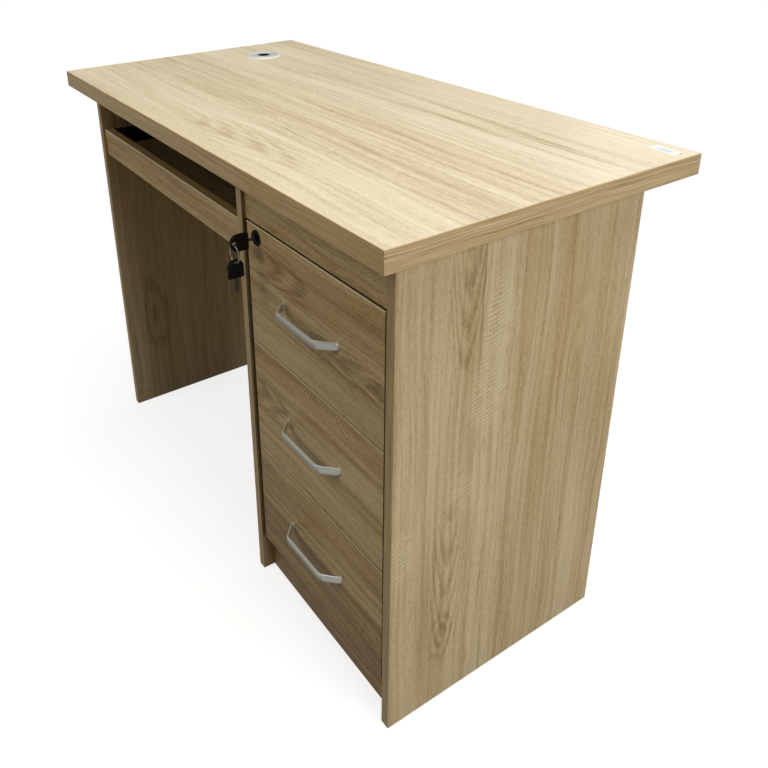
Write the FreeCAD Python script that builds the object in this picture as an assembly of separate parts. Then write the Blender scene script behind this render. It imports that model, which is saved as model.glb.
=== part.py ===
import FreeCAD, Part
import os
from math import cos, degrees, radians, sin

os.makedirs("parts", exist_ok=True)
Vector = FreeCAD.Vector

# A computer desk of melamine-faced board: a thick top on three upright panels, a keyboard tray
# in the left bay and a pedestal of three drawers in the right bay, the top one with a lock.
# Lengths are millimetres. The origin is on the floor under the middle of the top.
# +X is the user's right, the front faces -Y and +Z is up.

# Outer sizes
DESK_WIDTH = 1000.0
DESK_DEPTH = 500.0
DESK_HEIGHT = 750.0
TOP_THICK = 28.0
SIDE_OVERHANG = 32.0
FRONT_OVERHANG = 40.0
BACK_OVERHANG = 60.0

# Boards of the carcass
BOARD = 15.0
TOP_BAND = 1.0
PANEL_BAND = 1.0
PEDESTAL_WIDTH = 330.0
RAIL_SETBACK = 5.5
FRONT_SETBACK = 3.5
BOARD_EDGE_ROUND = 0.8
RAIL_HEIGHT = 75.0
PLINTH_HEIGHT = 68.0
PLINTH_SETBACK = 20.0
BASE_SETBACK = 22.5
BACK_INSET = 10.0
MODESTY_HEIGHT = 400.0

# Knock-down joints between the boards
CAM_RADIUS = 7.5
CAM_DEPTH = 12.5
CAM_DISTANCE = 34.0
CAM_SLOT_WIDTH = 2.5
CAM_SLOT_LENGTH = 8.0
CAM_SLOT_DEPTH = 2.0
CAM_CAVITY_RADIUS = 3.4
BOLT_RADIUS = 3.0
BOLT_SINK = 11.0
BOLT_BORE_RADIUS = 3.1
CAM_BORE_CLEARANCE = 0.05
CAM_FRONT_INSET = 90.0
CAM_BACK_INSET = 50.0
MODESTY_CAM_INSET = 45.0
DOWEL_RADIUS = 4.0
DOWEL_LENGTH = 30.0
DOWEL_CLEARANCE = 0.05
DOWEL_BASE_INSET = 60.0
DOWEL_BACK_INSET = 120.0

# Cable grommet in the top
GROMMET_FROM_LEFT = 113.0
GROMMET_FROM_BACK = 133.0
GROMMET_HOLE_RADIUS = 30.0
GROMMET_FLANGE_RADIUS = 34.0
GROMMET_FLANGE_THICK = 2.0
GROMMET_FLANGE_SLOPE = 1.2
GROMMET_WALL = 1.5
GROMMET_DEPTH = 18.0
GROMMET_CLEARANCE = 0.1
CAP_THICK = 2.5
CAP_RECESS = 1.2
CAP_CLEARANCE = 0.3
CAP_LEDGE = 2.0
CAP_SLOT_RADIUS = 12.5
CAP_SLOT_SHIFT = 6.0
CAP_SLOT_TAIL = 6.0
CAP_REST_ANGLE = 57.0

# Drawer boxes
DRAWER_COUNT = 3
RAIL_GAP = 2.0
DRAWER_GAP = 2.0
DRAWER_SIDE_GAP = 6.0
DRAWER_BASE_GAP = 6.0
BOX_BOARD = 12.0
BOX_HEADROOM = 50.0
BOX_LIFT = 15.0
BOX_BACK_GAP = 4.0
BOX_BOTTOM_THICK = 3.0
BOX_BOTTOM_RISE = 10.0
GROOVE_DEPTH = 5.5
GROOVE_CLEARANCE = 0.1
BOTTOM_REACH = 5.0

# Ball-bearing slides
SLIDE_SPACE = 12.7
SLIDE_HEIGHT = 45.4
SLIDE_SHEET = 1.2
BALL_RADIUS = 1.6
BALL_CLEARANCE = 0.05
SLIDE_CORNER = 0.9
CAGE_GAP = 0.3
CAGE_SHEET = 0.6
CAGE_LENGTH_SHARE = 0.42
CAGE_REACH = 1.0
CAGE_HOLE_CLEARANCE = 0.1
BALLS_PER_ROW = 2
SLIDE_RISE = 60.0
SHOULDER_ANGLE = 35.0
FLANGE_ANGLE = 30.0
CRADLE_ANGLE = 45.0
LIP_GAP = 0.3

# Bow handles
HANDLE_LENGTH = 136.0
HANDLE_PROUD = 25.0
HANDLE_RISE = 3.5
HANDLE_THICK = 4.0
HANDLE_WIDTH = 12.0
HANDLE_FOOT = 8.0
HANDLE_FOOT_RISE = 2.0
HANDLE_OUTER_BEND = 16.0
HANDLE_INNER_BEND = 12.0
HANDLE_FOOT_BEND = 2.0
HANDLE_EDGE = 1.2
HANDLE_THREAD_DEPTH = 4.5
SCREW_RADIUS = 2.0
SCREW_CLEARANCE = 0.05
SCREW_HOLE_RADIUS = 2.2
SCREW_ENGAGEMENT = 4.0
SCREW_HEAD_RADIUS = 4.0
SCREW_HEAD_THICK = 2.6
SCREW_RECESS_WIDTH = 1.0
SCREW_RECESS_LENGTH = 4.4
SCREW_RECESS_DEPTH = 1.4

# Keyboard tray
TRAY_DROP = 83.0
TRAY_FRONT_HEIGHT = 50.0
TRAY_SETBACK = 4.0
TRAY_SIDE_GAP = 2.0
TRAY_BOARD_INSET = 30.0
TRAY_BOARD_RISE = 3.0
TRAY_BACK_GAP = 56.0
TRAY_SLIDE_RISE = 25.0
BRACKET_SHEET = 1.5
BRACKET_HEIGHT = 34.0
BRACKET_FLANGE = 22.0
BRACKET_BEND = 2.5
BRACKET_END_INSET = 10.0
TRAY_SCREW_COUNT = 3
TRAY_SCREW_HEAD = 1.6
TRAY_SCREW_GRIP = 9.0
TRAY_SCREW_INSET = 25.0

# Lock of the top drawer
LOCK_FROM_LEFT = 26.5
LOCK_FROM_TOP = 17.5
LOCK_FLANGE_RADIUS = 11.5
LOCK_FLANGE_THICK = 2.2
LOCK_FLANGE_EDGE = 0.8
LOCK_BARREL_RADIUS = 9.0
LOCK_BARREL_LENGTH = 20.0
LOCK_HOLE_CLEARANCE = 0.2
PLUG_RADIUS = 6.2
PLUG_CLEARANCE = 0.08
PLUG_PROUD = 1.2
PLUG_TAIL_SIDE = 6.0
PLUG_TAIL_CLEARANCE = 0.1
NUT_ACROSS_FLATS = 24.0
NUT_THICK = 4.0
NUT_CLEARANCE = 0.3
LOCK_CAM_REACH = 28.0
LOCK_CAM_WIDTH = 15.0
LOCK_CAM_THICK = 2.0
LOCK_CAM_GAP = 0.5
LOCK_CAM_CORNER = 3.0
CAM_SCREW_RADIUS = 4.5
CAM_SCREW_THICK = 1.8

# Keys and key ring
KEY_BLADE_THICK = 2.0
KEY_BLADE_HEIGHT = 7.5
KEY_BLADE_IN_LOCK = 12.5
KEY_SHOWN = 9.6
KEY_BIT_DEPTH = 1.3
KEY_BIT_PITCH = 2.8
KEY_BITS = 3
KEYWAY_CLEARANCE = 0.1
KEYWAY_END = 0.5
BOW_LENGTH = 28.0
BOW_WIDTH = 25.0
BOW_THICK = 5.0
BOW_CORNER = 2.5
BOW_EDGE = 1.0
BOW_HOLE_RADIUS = 3.5
BOW_HOLE_INSET = 6.0
BOW_GRIP = 10.0
BLADE_POCKET_CLEARANCE = 0.05
RING_RADIUS = 12.5
RING_WIRE_RADIUS = 0.8
RING_SEAT = 2.0

# Shared overrun of cuts, and the shortest edge that an outline keeps
OVERRUN = 1.0
LEAST_EDGE = 0.001

# Places worked out from the sizes
PANEL_HEIGHT = DESK_HEIGHT - TOP_THICK
PANEL_FRONT = FRONT_OVERHANG - DESK_DEPTH / 2
PANEL_BACK = DESK_DEPTH / 2 - BACK_OVERHANG
RIGHT_OUTER = DESK_WIDTH / 2 - SIDE_OVERHANG
RIGHT_INNER = RIGHT_OUTER - BOARD
MIDDLE_RIGHT = RIGHT_INNER - PEDESTAL_WIDTH
MIDDLE_LEFT = MIDDLE_RIGHT - BOARD
LEFT_OUTER = SIDE_OVERHANG - DESK_WIDTH / 2
LEFT_INNER = LEFT_OUTER + BOARD
RAIL_FACE = PANEL_FRONT + RAIL_SETBACK
RAIL_BACK = RAIL_FACE + BOARD
FRONT_FACE = PANEL_FRONT + FRONT_SETBACK
FRONT_BACK = FRONT_FACE + BOARD
REAR_FACE = PANEL_BACK - BACK_INSET
REAR_FRONT = REAR_FACE - BOARD
RAIL_BOTTOM = PANEL_HEIGHT - RAIL_HEIGHT
BASE_TOP = PLINTH_HEIGHT + BOARD
FRONTS_BOTTOM = PLINTH_HEIGHT + DRAWER_BASE_GAP
FRONTS_TOP = RAIL_BOTTOM - RAIL_GAP
DRAWER_PITCH = (FRONTS_TOP - FRONTS_BOTTOM + DRAWER_GAP) / DRAWER_COUNT
DRAWER_FRONT_HEIGHT = DRAWER_PITCH - DRAWER_GAP
BOX_HEIGHT = DRAWER_FRONT_HEIGHT - BOX_LIFT - BOX_HEADROOM
BOX_LEFT = MIDDLE_RIGHT + SLIDE_SPACE
BOX_RIGHT = RIGHT_INNER - SLIDE_SPACE
BOX_BACK = REAR_FRONT - BOX_BACK_GAP
DRAWER_CENTRE = (MIDDLE_RIGHT + RIGHT_INNER) / 2
TRAY_TOP = PANEL_HEIGHT - TRAY_DROP
TRAY_BOTTOM = TRAY_TOP - TRAY_FRONT_HEIGHT
TRAY_FACE = PANEL_FRONT + TRAY_SETBACK
TRAY_FRONT_BACK = TRAY_FACE + BOARD
TRAY_SLIDE_LEVEL = TRAY_BOTTOM + TRAY_SLIDE_RISE
TRAY_SLIDE_LENGTH = REAR_FRONT - TRAY_BACK_GAP - TRAY_FRONT_BACK
TRAY_BOARD_DEPTH = TRAY_SLIDE_LENGTH - TRAY_BOARD_INSET
GROMMET_X = GROMMET_FROM_LEFT - DESK_WIDTH / 2
GROMMET_Y = DESK_DEPTH / 2 - GROMMET_FROM_BACK
LOCK_X = MIDDLE_RIGHT + DRAWER_SIDE_GAP + LOCK_FROM_LEFT
LOCK_Z = FRONTS_TOP - LOCK_FROM_TOP
PLUG_FACE = FRONT_FACE - LOCK_FLANGE_THICK - PLUG_PROUD
BOW_ROOT = BOW_LENGTH - BOW_HOLE_INSET

X_AXIS = Vector(1, 0, 0)
Y_AXIS = Vector(0, 1, 0)
Z_AXIS = Vector(0, 0, 1)


def block(x0, x1, y0, y1, z0, z1):
    """Rectangular board between two corners."""
    return Part.makeBox(x1 - x0, y1 - y0, z1 - z0, Vector(x0, y0, z0))


def rod(radius, start, direction, length):
    """Round rod from a start point along a direction."""
    return Part.makeCylinder(radius, length, start, direction)


def prism(points, direction):
    """Solid of a flat outline with straight sides, pushed along a direction."""
    outline = Part.makePolygon(points + [points[0]])
    return Part.Face(outline).extrude(direction)


def rounded_outline(corners):
    """Closed wire in the XY plane through (x, y, radius) corners, each rounded by its radius."""
    edges = []
    count = len(corners)
    starts, ends = [], []
    for i in range(count):
        x, y, radius = corners[i]
        here = Vector(x, y, 0)
        before = Vector(corners[i - 1][0], corners[i - 1][1], 0) - here
        after = Vector(corners[(i + 1) % count][0], corners[(i + 1) % count][1], 0) - here
        before.normalize()
        after.normalize()
        half_angle = before.getAngle(after) / 2
        cut = radius * cos(half_angle) / sin(half_angle)
        middle = before + after
        middle.normalize()
        reach = radius / sin(half_angle) - radius
        starts.append(here + before * cut)
        ends.append(here + after * cut)
        if radius:
            edges.append(Part.Arc(starts[i], here + middle * reach, ends[i]).toShape())
    for i in range(count):
        following = starts[(i + 1) % count]
        if (following - ends[i]).Length > LEAST_EDGE:
            edges.append(Part.LineSegment(ends[i], following).toShape())
    return Part.Wire(Part.__sortEdges__(edges))


def front_rounded(board, face):
    """Board with the edges round its front face softened."""
    rims = [edge for edge in board.Edges if edge.BoundBox.YMax < face + LEAST_EDGE]
    return board.makeFillet(BOARD_EDGE_ROUND, rims)


def grouped(solids):
    """One shape that holds several separate solids."""
    return Part.makeCompound(solids)


def save(name, shape):
    """Writes one sub-part to its own file."""
    shape.exportStep(f"parts/{name}.step")


def x_mirrored(shape, centre):
    """Copy of a shape, mirrored left to right about the plane x = centre."""
    return shape.mirror(Vector(centre, 0, 0), X_AXIS)


# Knock-down joints. Each place holds the cam's mouth on a board's face, the direction into the
# board, the direction of the bolt, and how far the bolt runs to the face of the next board.
def joint_places():
    """Names the two boards of each cam joint, with the cam's mouth and its two directions."""
    places = []
    levels = (PANEL_FRONT + CAM_FRONT_INSET, PANEL_BACK - CAM_BACK_INSET)
    cam_height = PANEL_HEIGHT - CAM_DISTANCE
    uprights = (
        ("left_panel", LEFT_INNER, -1),
        ("middle_panel", MIDDLE_RIGHT, -1),
        ("right_panel", RIGHT_INNER, 1),
    )
    for panel, face, inward in uprights:
        for level in levels:
            places.append((panel, "desk_top", Vector(face, level, cam_height), X_AXIS * inward, Z_AXIS))
    rail_level = (RAIL_BOTTOM + PANEL_HEIGHT) / 2
    rail_ends = (
        (MIDDLE_RIGHT + CAM_DISTANCE, "middle_panel", -1),
        (RIGHT_INNER - CAM_DISTANCE, "right_panel", 1),
    )
    for x, panel, way in rail_ends:
        places.append(("top_rail", panel, Vector(x, RAIL_BACK, rail_level), Y_AXIS * -1, X_AXIS * way))
    modesty_levels = (PANEL_HEIGHT - MODESTY_HEIGHT + MODESTY_CAM_INSET, PANEL_HEIGHT - MODESTY_CAM_INSET)
    modesty_ends = (
        (LEFT_INNER + CAM_DISTANCE, "left_panel", -1),
        (MIDDLE_LEFT - CAM_DISTANCE, "middle_panel", 1),
    )
    for x, panel, way in modesty_ends:
        for z in modesty_levels:
            places.append(("modesty_panel", panel, Vector(x, REAR_FACE, z), Y_AXIS * -1, X_AXIS * way))
    return places


def bolt_line(mouth, inward):
    """Point on the bolt's axis, half a board in from the cam's mouth."""
    return mouth + inward * (BOARD / 2)


def joint_cuts(board):
    """Bores that the cam joints need in one board."""
    cuts = []
    for cam_board, bolt_board, mouth, inward, along in joint_places():
        axis_point = bolt_line(mouth, inward)
        if cam_board == board:
            bore_radius = CAM_RADIUS + CAM_BORE_CLEARANCE
            cuts.append(rod(bore_radius, mouth - inward * OVERRUN, inward, CAM_DEPTH + OVERRUN))
            cuts.append(rod(BOLT_BORE_RADIUS, axis_point, along, CAM_DISTANCE + OVERRUN))
        if bolt_board == board:
            cuts.append(rod(BOLT_BORE_RADIUS, axis_point, along, CAM_DISTANCE + BOLT_SINK))
    return cuts


def cam_fitting(mouth, inward, along):
    """Round cam with a screwdriver slot in its face and the cavity that takes the bolt."""
    cam = rod(CAM_RADIUS, mouth, inward, CAM_DEPTH)
    cavity = rod(CAM_CAVITY_RADIUS, bolt_line(mouth, inward), along, CAM_RADIUS + OVERRUN)
    across = inward.cross(along)
    corner = mouth - along * (CAM_SLOT_LENGTH / 2) - across * (CAM_SLOT_WIDTH / 2) - inward * OVERRUN
    slot_points = [
        corner,
        corner + along * CAM_SLOT_LENGTH,
        corner + along * CAM_SLOT_LENGTH + across * CAM_SLOT_WIDTH,
        corner + across * CAM_SLOT_WIDTH,
    ]
    slot = prism(slot_points, inward * (CAM_SLOT_DEPTH + OVERRUN))
    return cam.cut(cavity).cut(slot)


def cam_bolt(mouth, inward, along):
    """Bolt from inside the cam to its thread in the next board."""
    start = bolt_line(mouth, inward) + along * BOLT_RADIUS
    return rod(BOLT_RADIUS, start, along, CAM_DISTANCE + BOLT_SINK - BOLT_RADIUS)


# Dowels. Each place holds the two boards, the middle of the dowel and its direction.
def dowel_places():
    """Names the two boards of each dowel, with the joint face's point and direction."""
    places = []
    plinth_y = PANEL_FRONT + PLINTH_SETBACK + BOARD / 2
    rear_y = (REAR_FRONT + REAR_FACE) / 2
    base_z = PLINTH_HEIGHT + BOARD / 2
    base_ys = (PANEL_FRONT + DOWEL_BASE_INSET, REAR_FRONT - DOWEL_BASE_INSET)
    for x, panel in ((MIDDLE_RIGHT, "middle_panel"), (RIGHT_INNER, "right_panel")):
        places.append(("plinth", panel, Vector(x, plinth_y, PLINTH_HEIGHT / 2)))
        for y in base_ys:
            places.append(("pedestal_base", panel, Vector(x, y, base_z)))
        for z in (DOWEL_BACK_INSET, PANEL_HEIGHT - DOWEL_BACK_INSET):
            places.append(("pedestal_back", panel, Vector(x, rear_y, z)))
    return places


def dowel_rod(point, radius, spare):
    """Rod centred in length so that two thirds of it lie in the butting board."""
    sink = DOWEL_LENGTH / 3 + spare
    tail = DOWEL_LENGTH - DOWEL_LENGTH / 3 + spare
    inward = 1 if point.x < DRAWER_CENTRE else -1
    start = point - X_AXIS * (sink * inward)
    return rod(radius, start, X_AXIS * inward, sink + tail)


def dowel_cuts(board):
    """Bores that the dowels need in one board."""
    cuts = []
    for butting, panel, point in dowel_places():
        if board in (butting, panel):
            cuts.append(dowel_rod(point, DOWEL_RADIUS + DOWEL_CLEARANCE, DOWEL_CLEARANCE))
    return cuts


def finished(name, board):
    """Board with the bores of its joints cut."""
    cuts = joint_cuts(name) + dowel_cuts(name)
    return board.cut(cuts) if cuts else board


def build_carcass():
    """Top, uprights, rails and backs, with their bands and fittings."""
    half_width, half_depth = DESK_WIDTH / 2, DESK_DEPTH / 2
    top_x, top_y = half_width - TOP_BAND, half_depth - TOP_BAND
    top = block(-top_x, top_x, -top_y, top_y, PANEL_HEIGHT, DESK_HEIGHT)
    hole_start = Vector(GROMMET_X, GROMMET_Y, PANEL_HEIGHT - OVERRUN)
    grommet_hole = rod(GROMMET_HOLE_RADIUS, hole_start, Z_AXIS, TOP_THICK + 2 * OVERRUN)
    save("desk_top", finished("desk_top", top.cut(grommet_hole)))
    outline = block(-half_width, half_width, -half_depth, half_depth, PANEL_HEIGHT, DESK_HEIGHT)
    outline = outline.makeFillet(BOARD_EDGE_ROUND, outline.Edges)
    strips = [
        block(-half_width, half_width, -half_depth, -top_y, PANEL_HEIGHT, DESK_HEIGHT),
        block(-half_width, half_width, top_y, half_depth, PANEL_HEIGHT, DESK_HEIGHT),
        block(-half_width, -top_x, -top_y, top_y, PANEL_HEIGHT, DESK_HEIGHT),
        block(top_x, half_width, -top_y, top_y, PANEL_HEIGHT, DESK_HEIGHT),
    ]
    bands = [strip.common(outline) for strip in strips]
    save("top_edge_bands", grouped(bands))

    uprights = {
        "left_panel": (LEFT_OUTER, LEFT_INNER),
        "middle_panel": (MIDDLE_LEFT, MIDDLE_RIGHT),
        "right_panel": (RIGHT_INNER, RIGHT_OUTER),
    }
    panel_bands = []
    for name, (x0, x1) in uprights.items():
        save(name, finished(name, block(x0, x1, PANEL_FRONT + PANEL_BAND, PANEL_BACK, 0, PANEL_HEIGHT)))
        band = block(x0, x1, PANEL_FRONT, PANEL_FRONT + PANEL_BAND, 0, PANEL_HEIGHT)
        long_rims = [edge for edge in band.Edges if edge.BoundBox.ZLength > PANEL_BAND]
        long_rims = [edge for edge in long_rims if edge.BoundBox.YMax < PANEL_FRONT + LEAST_EDGE]
        panel_bands.append(band.makeFillet(BOARD_EDGE_ROUND, long_rims))
    save("panel_edge_bands", grouped(panel_bands))

    plinth_front = PANEL_FRONT + PLINTH_SETBACK
    base_front = PANEL_FRONT + BASE_SETBACK
    modesty_bottom = PANEL_HEIGHT - MODESTY_HEIGHT
    rail = block(MIDDLE_RIGHT, RIGHT_INNER, RAIL_FACE, RAIL_BACK, RAIL_BOTTOM, PANEL_HEIGHT)
    plinth = block(MIDDLE_RIGHT, RIGHT_INNER, plinth_front, plinth_front + BOARD, 0, PLINTH_HEIGHT)
    base = block(MIDDLE_RIGHT, RIGHT_INNER, base_front, REAR_FRONT, PLINTH_HEIGHT, BASE_TOP)
    back = block(MIDDLE_RIGHT, RIGHT_INNER, REAR_FRONT, REAR_FACE, 0, PANEL_HEIGHT)
    modesty = block(LEFT_INNER, MIDDLE_LEFT, REAR_FRONT, REAR_FACE, modesty_bottom, PANEL_HEIGHT)
    save("top_rail", finished("top_rail", front_rounded(rail, RAIL_FACE)))
    save("plinth", finished("plinth", plinth))
    save("pedestal_base", finished("pedestal_base", base))
    save("pedestal_back", finished("pedestal_back", back))
    save("modesty_panel", finished("modesty_panel", modesty))

    joints = [(mouth, inward, along) for _, _, mouth, inward, along in joint_places()]
    save("cam_fittings", grouped([cam_fitting(*joint) for joint in joints]))
    save("cam_bolts", grouped([cam_bolt(*joint) for joint in joints]))
    save("wood_dowels", grouped([dowel_rod(point, DOWEL_RADIUS, 0) for _, _, point in dowel_places()]))


def build_grommet():
    """Flanged liner in the top's hole and the turning cap with its cable slot."""
    outer = GROMMET_HOLE_RADIUS - GROMMET_CLEARANCE
    inner = outer - GROMMET_WALL
    ledge_inner = inner - CAP_LEDGE
    flange_top = DESK_HEIGHT + GROMMET_FLANGE_THICK
    cap_top = flange_top - CAP_RECESS
    cap_bottom = cap_top - CAP_THICK
    profile = [
        (outer, DESK_HEIGHT),
        (GROMMET_FLANGE_RADIUS, DESK_HEIGHT),
        (GROMMET_FLANGE_RADIUS, flange_top - GROMMET_FLANGE_SLOPE),
        (GROMMET_FLANGE_RADIUS - GROMMET_FLANGE_SLOPE, flange_top),
        (inner, flange_top),
        (inner, cap_bottom),
        (ledge_inner, cap_bottom),
        (ledge_inner, cap_bottom - GROMMET_WALL),
        (inner, cap_bottom - GROMMET_WALL),
        (inner, DESK_HEIGHT - GROMMET_DEPTH),
        (outer, DESK_HEIGHT - GROMMET_DEPTH),
    ]
    points = [Vector(r, 0, z) for r, z in profile]
    liner = Part.Face(Part.makePolygon(points + [points[0]])).revolve(Vector(0, 0, 0), Z_AXIS, 360)
    liner.translate(Vector(GROMMET_X, GROMMET_Y, 0))
    save("grommet_liner", liner)

    centre = Vector(GROMMET_X, GROMMET_Y, cap_bottom)
    cap = rod(inner - CAP_CLEARANCE, centre, Z_AXIS, CAP_THICK)
    start = centre + Y_AXIS * CAP_SLOT_SHIFT - Z_AXIS * OVERRUN
    slot_length = CAP_THICK + 2 * OVERRUN
    slot = rod(CAP_SLOT_RADIUS, start, Z_AXIS, slot_length)
    tail = block(
        start.x - CAP_SLOT_RADIUS, start.x + CAP_SLOT_RADIUS,
        start.y - CAP_SLOT_TAIL, start.y, start.z, start.z + slot_length
    )
    cap = cap.cut(slot.fuse(tail))
    cap.rotate(centre, Z_AXIS, CAP_REST_ANGLE)
    save("grommet_cap", cap)


# Ball-bearing slides. Their section is drawn in the XZ plane: x runs from the fixed wall to the
# moving side, z up, and the upper half is mirrored to the lower one.
def bent_strip(start, heading, moves):
    """Face of rolled sheet along straight (length,) and curved (radius, turn) moves."""
    banks = {1: [], -1: []}
    x, z = start
    angle = radians(heading)
    for move in moves:
        normal_x, normal_z = -sin(angle), cos(angle)
        if len(move) == 1:
            end_x, end_z = x + move[0] * cos(angle), z + move[0] * sin(angle)
            for bank, edges in banks.items():
                shift = bank * SLIDE_SHEET / 2
                first = Vector(x + shift * normal_x, 0, z + shift * normal_z)
                last = Vector(end_x + shift * normal_x, 0, end_z + shift * normal_z)
                edges.append((first, None, last))
            x, z = end_x, end_z
            continue
        radius, turn = move
        way = 1 if turn > 0 else -1
        centre_x, centre_z = x + way * radius * normal_x, z + way * radius * normal_z
        for bank, edges in banks.items():
            shift = bank * SLIDE_SHEET / 2
            arm_x = x + shift * normal_x - centre_x
            arm_z = z + shift * normal_z - centre_z
            points = []
            for share in (0, 0.5, 1):
                swing = radians(turn) * share
                turned_x = arm_x * cos(swing) - arm_z * sin(swing)
                turned_z = arm_x * sin(swing) + arm_z * cos(swing)
                points.append(Vector(centre_x + turned_x, 0, centre_z + turned_z))
            edges.append(tuple(points))
        swing = radians(turn)
        arm_x, arm_z = x - centre_x, z - centre_z
        x = centre_x + arm_x * cos(swing) - arm_z * sin(swing)
        z = centre_z + arm_x * sin(swing) + arm_z * cos(swing)
        angle += swing
    shapes = []
    for edges in banks.values():
        for first, middle, last in edges:
            edge = Part.LineSegment(first, last) if middle is None else Part.Arc(first, middle, last)
            shapes.append(edge.toShape())
    for i in (0, -1):
        near = banks[1][i][0] if i == 0 else banks[1][i][2]
        far = banks[-1][i][0] if i == 0 else banks[-1][i][2]
        shapes.append(Part.LineSegment(near, far).toShape())
    return Part.Face(Part.Wire(Part.__sortEdges__(shapes))), x, z


TRACK_RADIUS = BALL_RADIUS + BALL_CLEARANCE + SLIDE_SHEET / 2
OUTER_BALL_Z = SLIDE_HEIGHT / 2 - SLIDE_SHEET / 2 - TRACK_RADIUS
MIDDLE_WEB_X = SLIDE_SHEET + 2 * CAGE_GAP + CAGE_SHEET + SLIDE_SHEET / 2
OUTER_BALL_X = MIDDLE_WEB_X + SLIDE_CORNER + (TRACK_RADIUS + SLIDE_CORNER) * sin(radians(SHOULDER_ANGLE))
INNER_WEB_X = SLIDE_SPACE - SLIDE_SHEET / 2
INNER_BALL_X = INNER_WEB_X - SLIDE_SHEET - LIP_GAP - TRACK_RADIUS
BALL_STEP_X = INNER_BALL_X - OUTER_BALL_X
BALL_STEP_Z = ((2 * TRACK_RADIUS) ** 2 - BALL_STEP_X ** 2) ** 0.5
INNER_BALL_Z = OUTER_BALL_Z - BALL_STEP_Z
SWAY_ANGLE = degrees(Z_AXIS.getAngle(Vector(BALL_STEP_X, 0, BALL_STEP_Z)))


def outer_half():
    """Upper half of the fixed member: a lip round the ball, a flange and the web."""
    flange = OUTER_BALL_X - SLIDE_SHEET / 2 - SLIDE_CORNER
    web = OUTER_BALL_Z + TRACK_RADIUS - SLIDE_CORNER
    start = (OUTER_BALL_X + TRACK_RADIUS, OUTER_BALL_Z)
    return bent_strip(start, 90, [(TRACK_RADIUS, 90), (flange,), (SLIDE_CORNER, 90), (web,)])[0]


def middle_half():
    """Upper half of the middle member: a lip on the inner ball, a cradle under the outer one, the web."""
    start = (INNER_BALL_X + TRACK_RADIUS, INNER_BALL_Z)
    bends = [
        (TRACK_RADIUS, 90 + SWAY_ANGLE),
        (TRACK_RADIUS, -SWAY_ANGLE - SHOULDER_ANGLE),
        (SLIDE_CORNER, 90 + SHOULDER_ANGLE),
    ]
    height = bent_strip(start, 90, bends)[2]
    return bent_strip(start, 90, bends + [(height,)])[0]


def inner_half():
    """Upper half of the moving member: a cradle under the inner ball, a sloping flange and the web."""
    cradle = radians(CRADLE_ANGLE)
    start = (INNER_BALL_X - TRACK_RADIUS * sin(cradle), INNER_BALL_Z - TRACK_RADIUS * cos(cradle))
    slope = radians(FLANGE_ANGLE)
    bend_reach = (TRACK_RADIUS + SLIDE_CORNER) * sin(slope) + SLIDE_CORNER
    straight = (INNER_WEB_X - INNER_BALL_X - bend_reach) / cos(slope)
    bends = [(TRACK_RADIUS, CRADLE_ANGLE + FLANGE_ANGLE), (straight,), (SLIDE_CORNER, -90 - FLANGE_ANGLE)]
    height = bent_strip(start, -CRADLE_ANGLE, bends)[2]
    return bent_strip(start, -CRADLE_ANGLE, bends + [(height,)])[0]


def rolled_member(half, length):
    """Full-height member from its upper half-section, lying along +Y from the origin."""
    upper = half.extrude(Y_AXIS * length)
    lower = upper.mirror(Vector(0, 0, 0), Z_AXIS)
    return upper.fuse(lower).removeSplitter()


def cage(web_x, ball_x, ball_z, start, length):
    """Channel that spaces the balls: a web between two members and two flanges with ball seats."""
    reach = ball_x + CAGE_REACH
    half = CAGE_SHEET / 2
    web = block(web_x, web_x + CAGE_SHEET, start, start + length, -ball_z - half, ball_z + half)
    flanges = [block(web_x, reach, start, start + length, z - half, z + half) for z in (-ball_z, ball_z)]
    channel = web.fuse(flanges)
    balls, seats = [], []
    for i in range(BALLS_PER_ROW):
        y = start + length * (i + 0.5) / BALLS_PER_ROW
        for z in (-ball_z, ball_z):
            balls.append(Part.makeSphere(BALL_RADIUS, Vector(ball_x, y, z)))
            seat_start = Vector(ball_x, y, z - CAGE_SHEET)
            seats.append(rod(BALL_RADIUS + CAGE_HOLE_CLEARANCE, seat_start, Z_AXIS, 2 * CAGE_SHEET))
    return [channel.cut(seats).removeSplitter()] + balls


def slide_solids(length):
    """The three groups of one slide: fixed member, middle member with cages and balls, moving member."""
    outer = rolled_member(outer_half(), length)
    middle = rolled_member(middle_half(), length)
    inner = rolled_member(inner_half(), length)
    cage_length = length * CAGE_LENGTH_SHARE
    spare = length / 2 - cage_length
    outer_cage_x = SLIDE_SHEET + CAGE_GAP
    inner_cage_x = MIDDLE_WEB_X + SLIDE_SHEET / 2 + CAGE_GAP
    middles = [middle]
    middles += cage(outer_cage_x, OUTER_BALL_X, OUTER_BALL_Z, length / 2 + spare / 2, cage_length)
    middles += cage(inner_cage_x, INNER_BALL_X, INNER_BALL_Z, spare / 2, cage_length)
    return outer, middles, inner


def slide_pair(left_wall, right_wall, front, level, length):
    """Fixed, middle and moving groups of a left and a right slide between two walls."""
    outer, middles, inner = slide_solids(length)
    place = Vector(left_wall, front, level)
    centre = (left_wall + right_wall) / 2
    groups = []
    for solids in ([outer], middles, [inner]):
        left = [solid.translated(place) for solid in solids]
        groups.append(left + [x_mirrored(solid, centre) for solid in left])
    return groups


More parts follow.
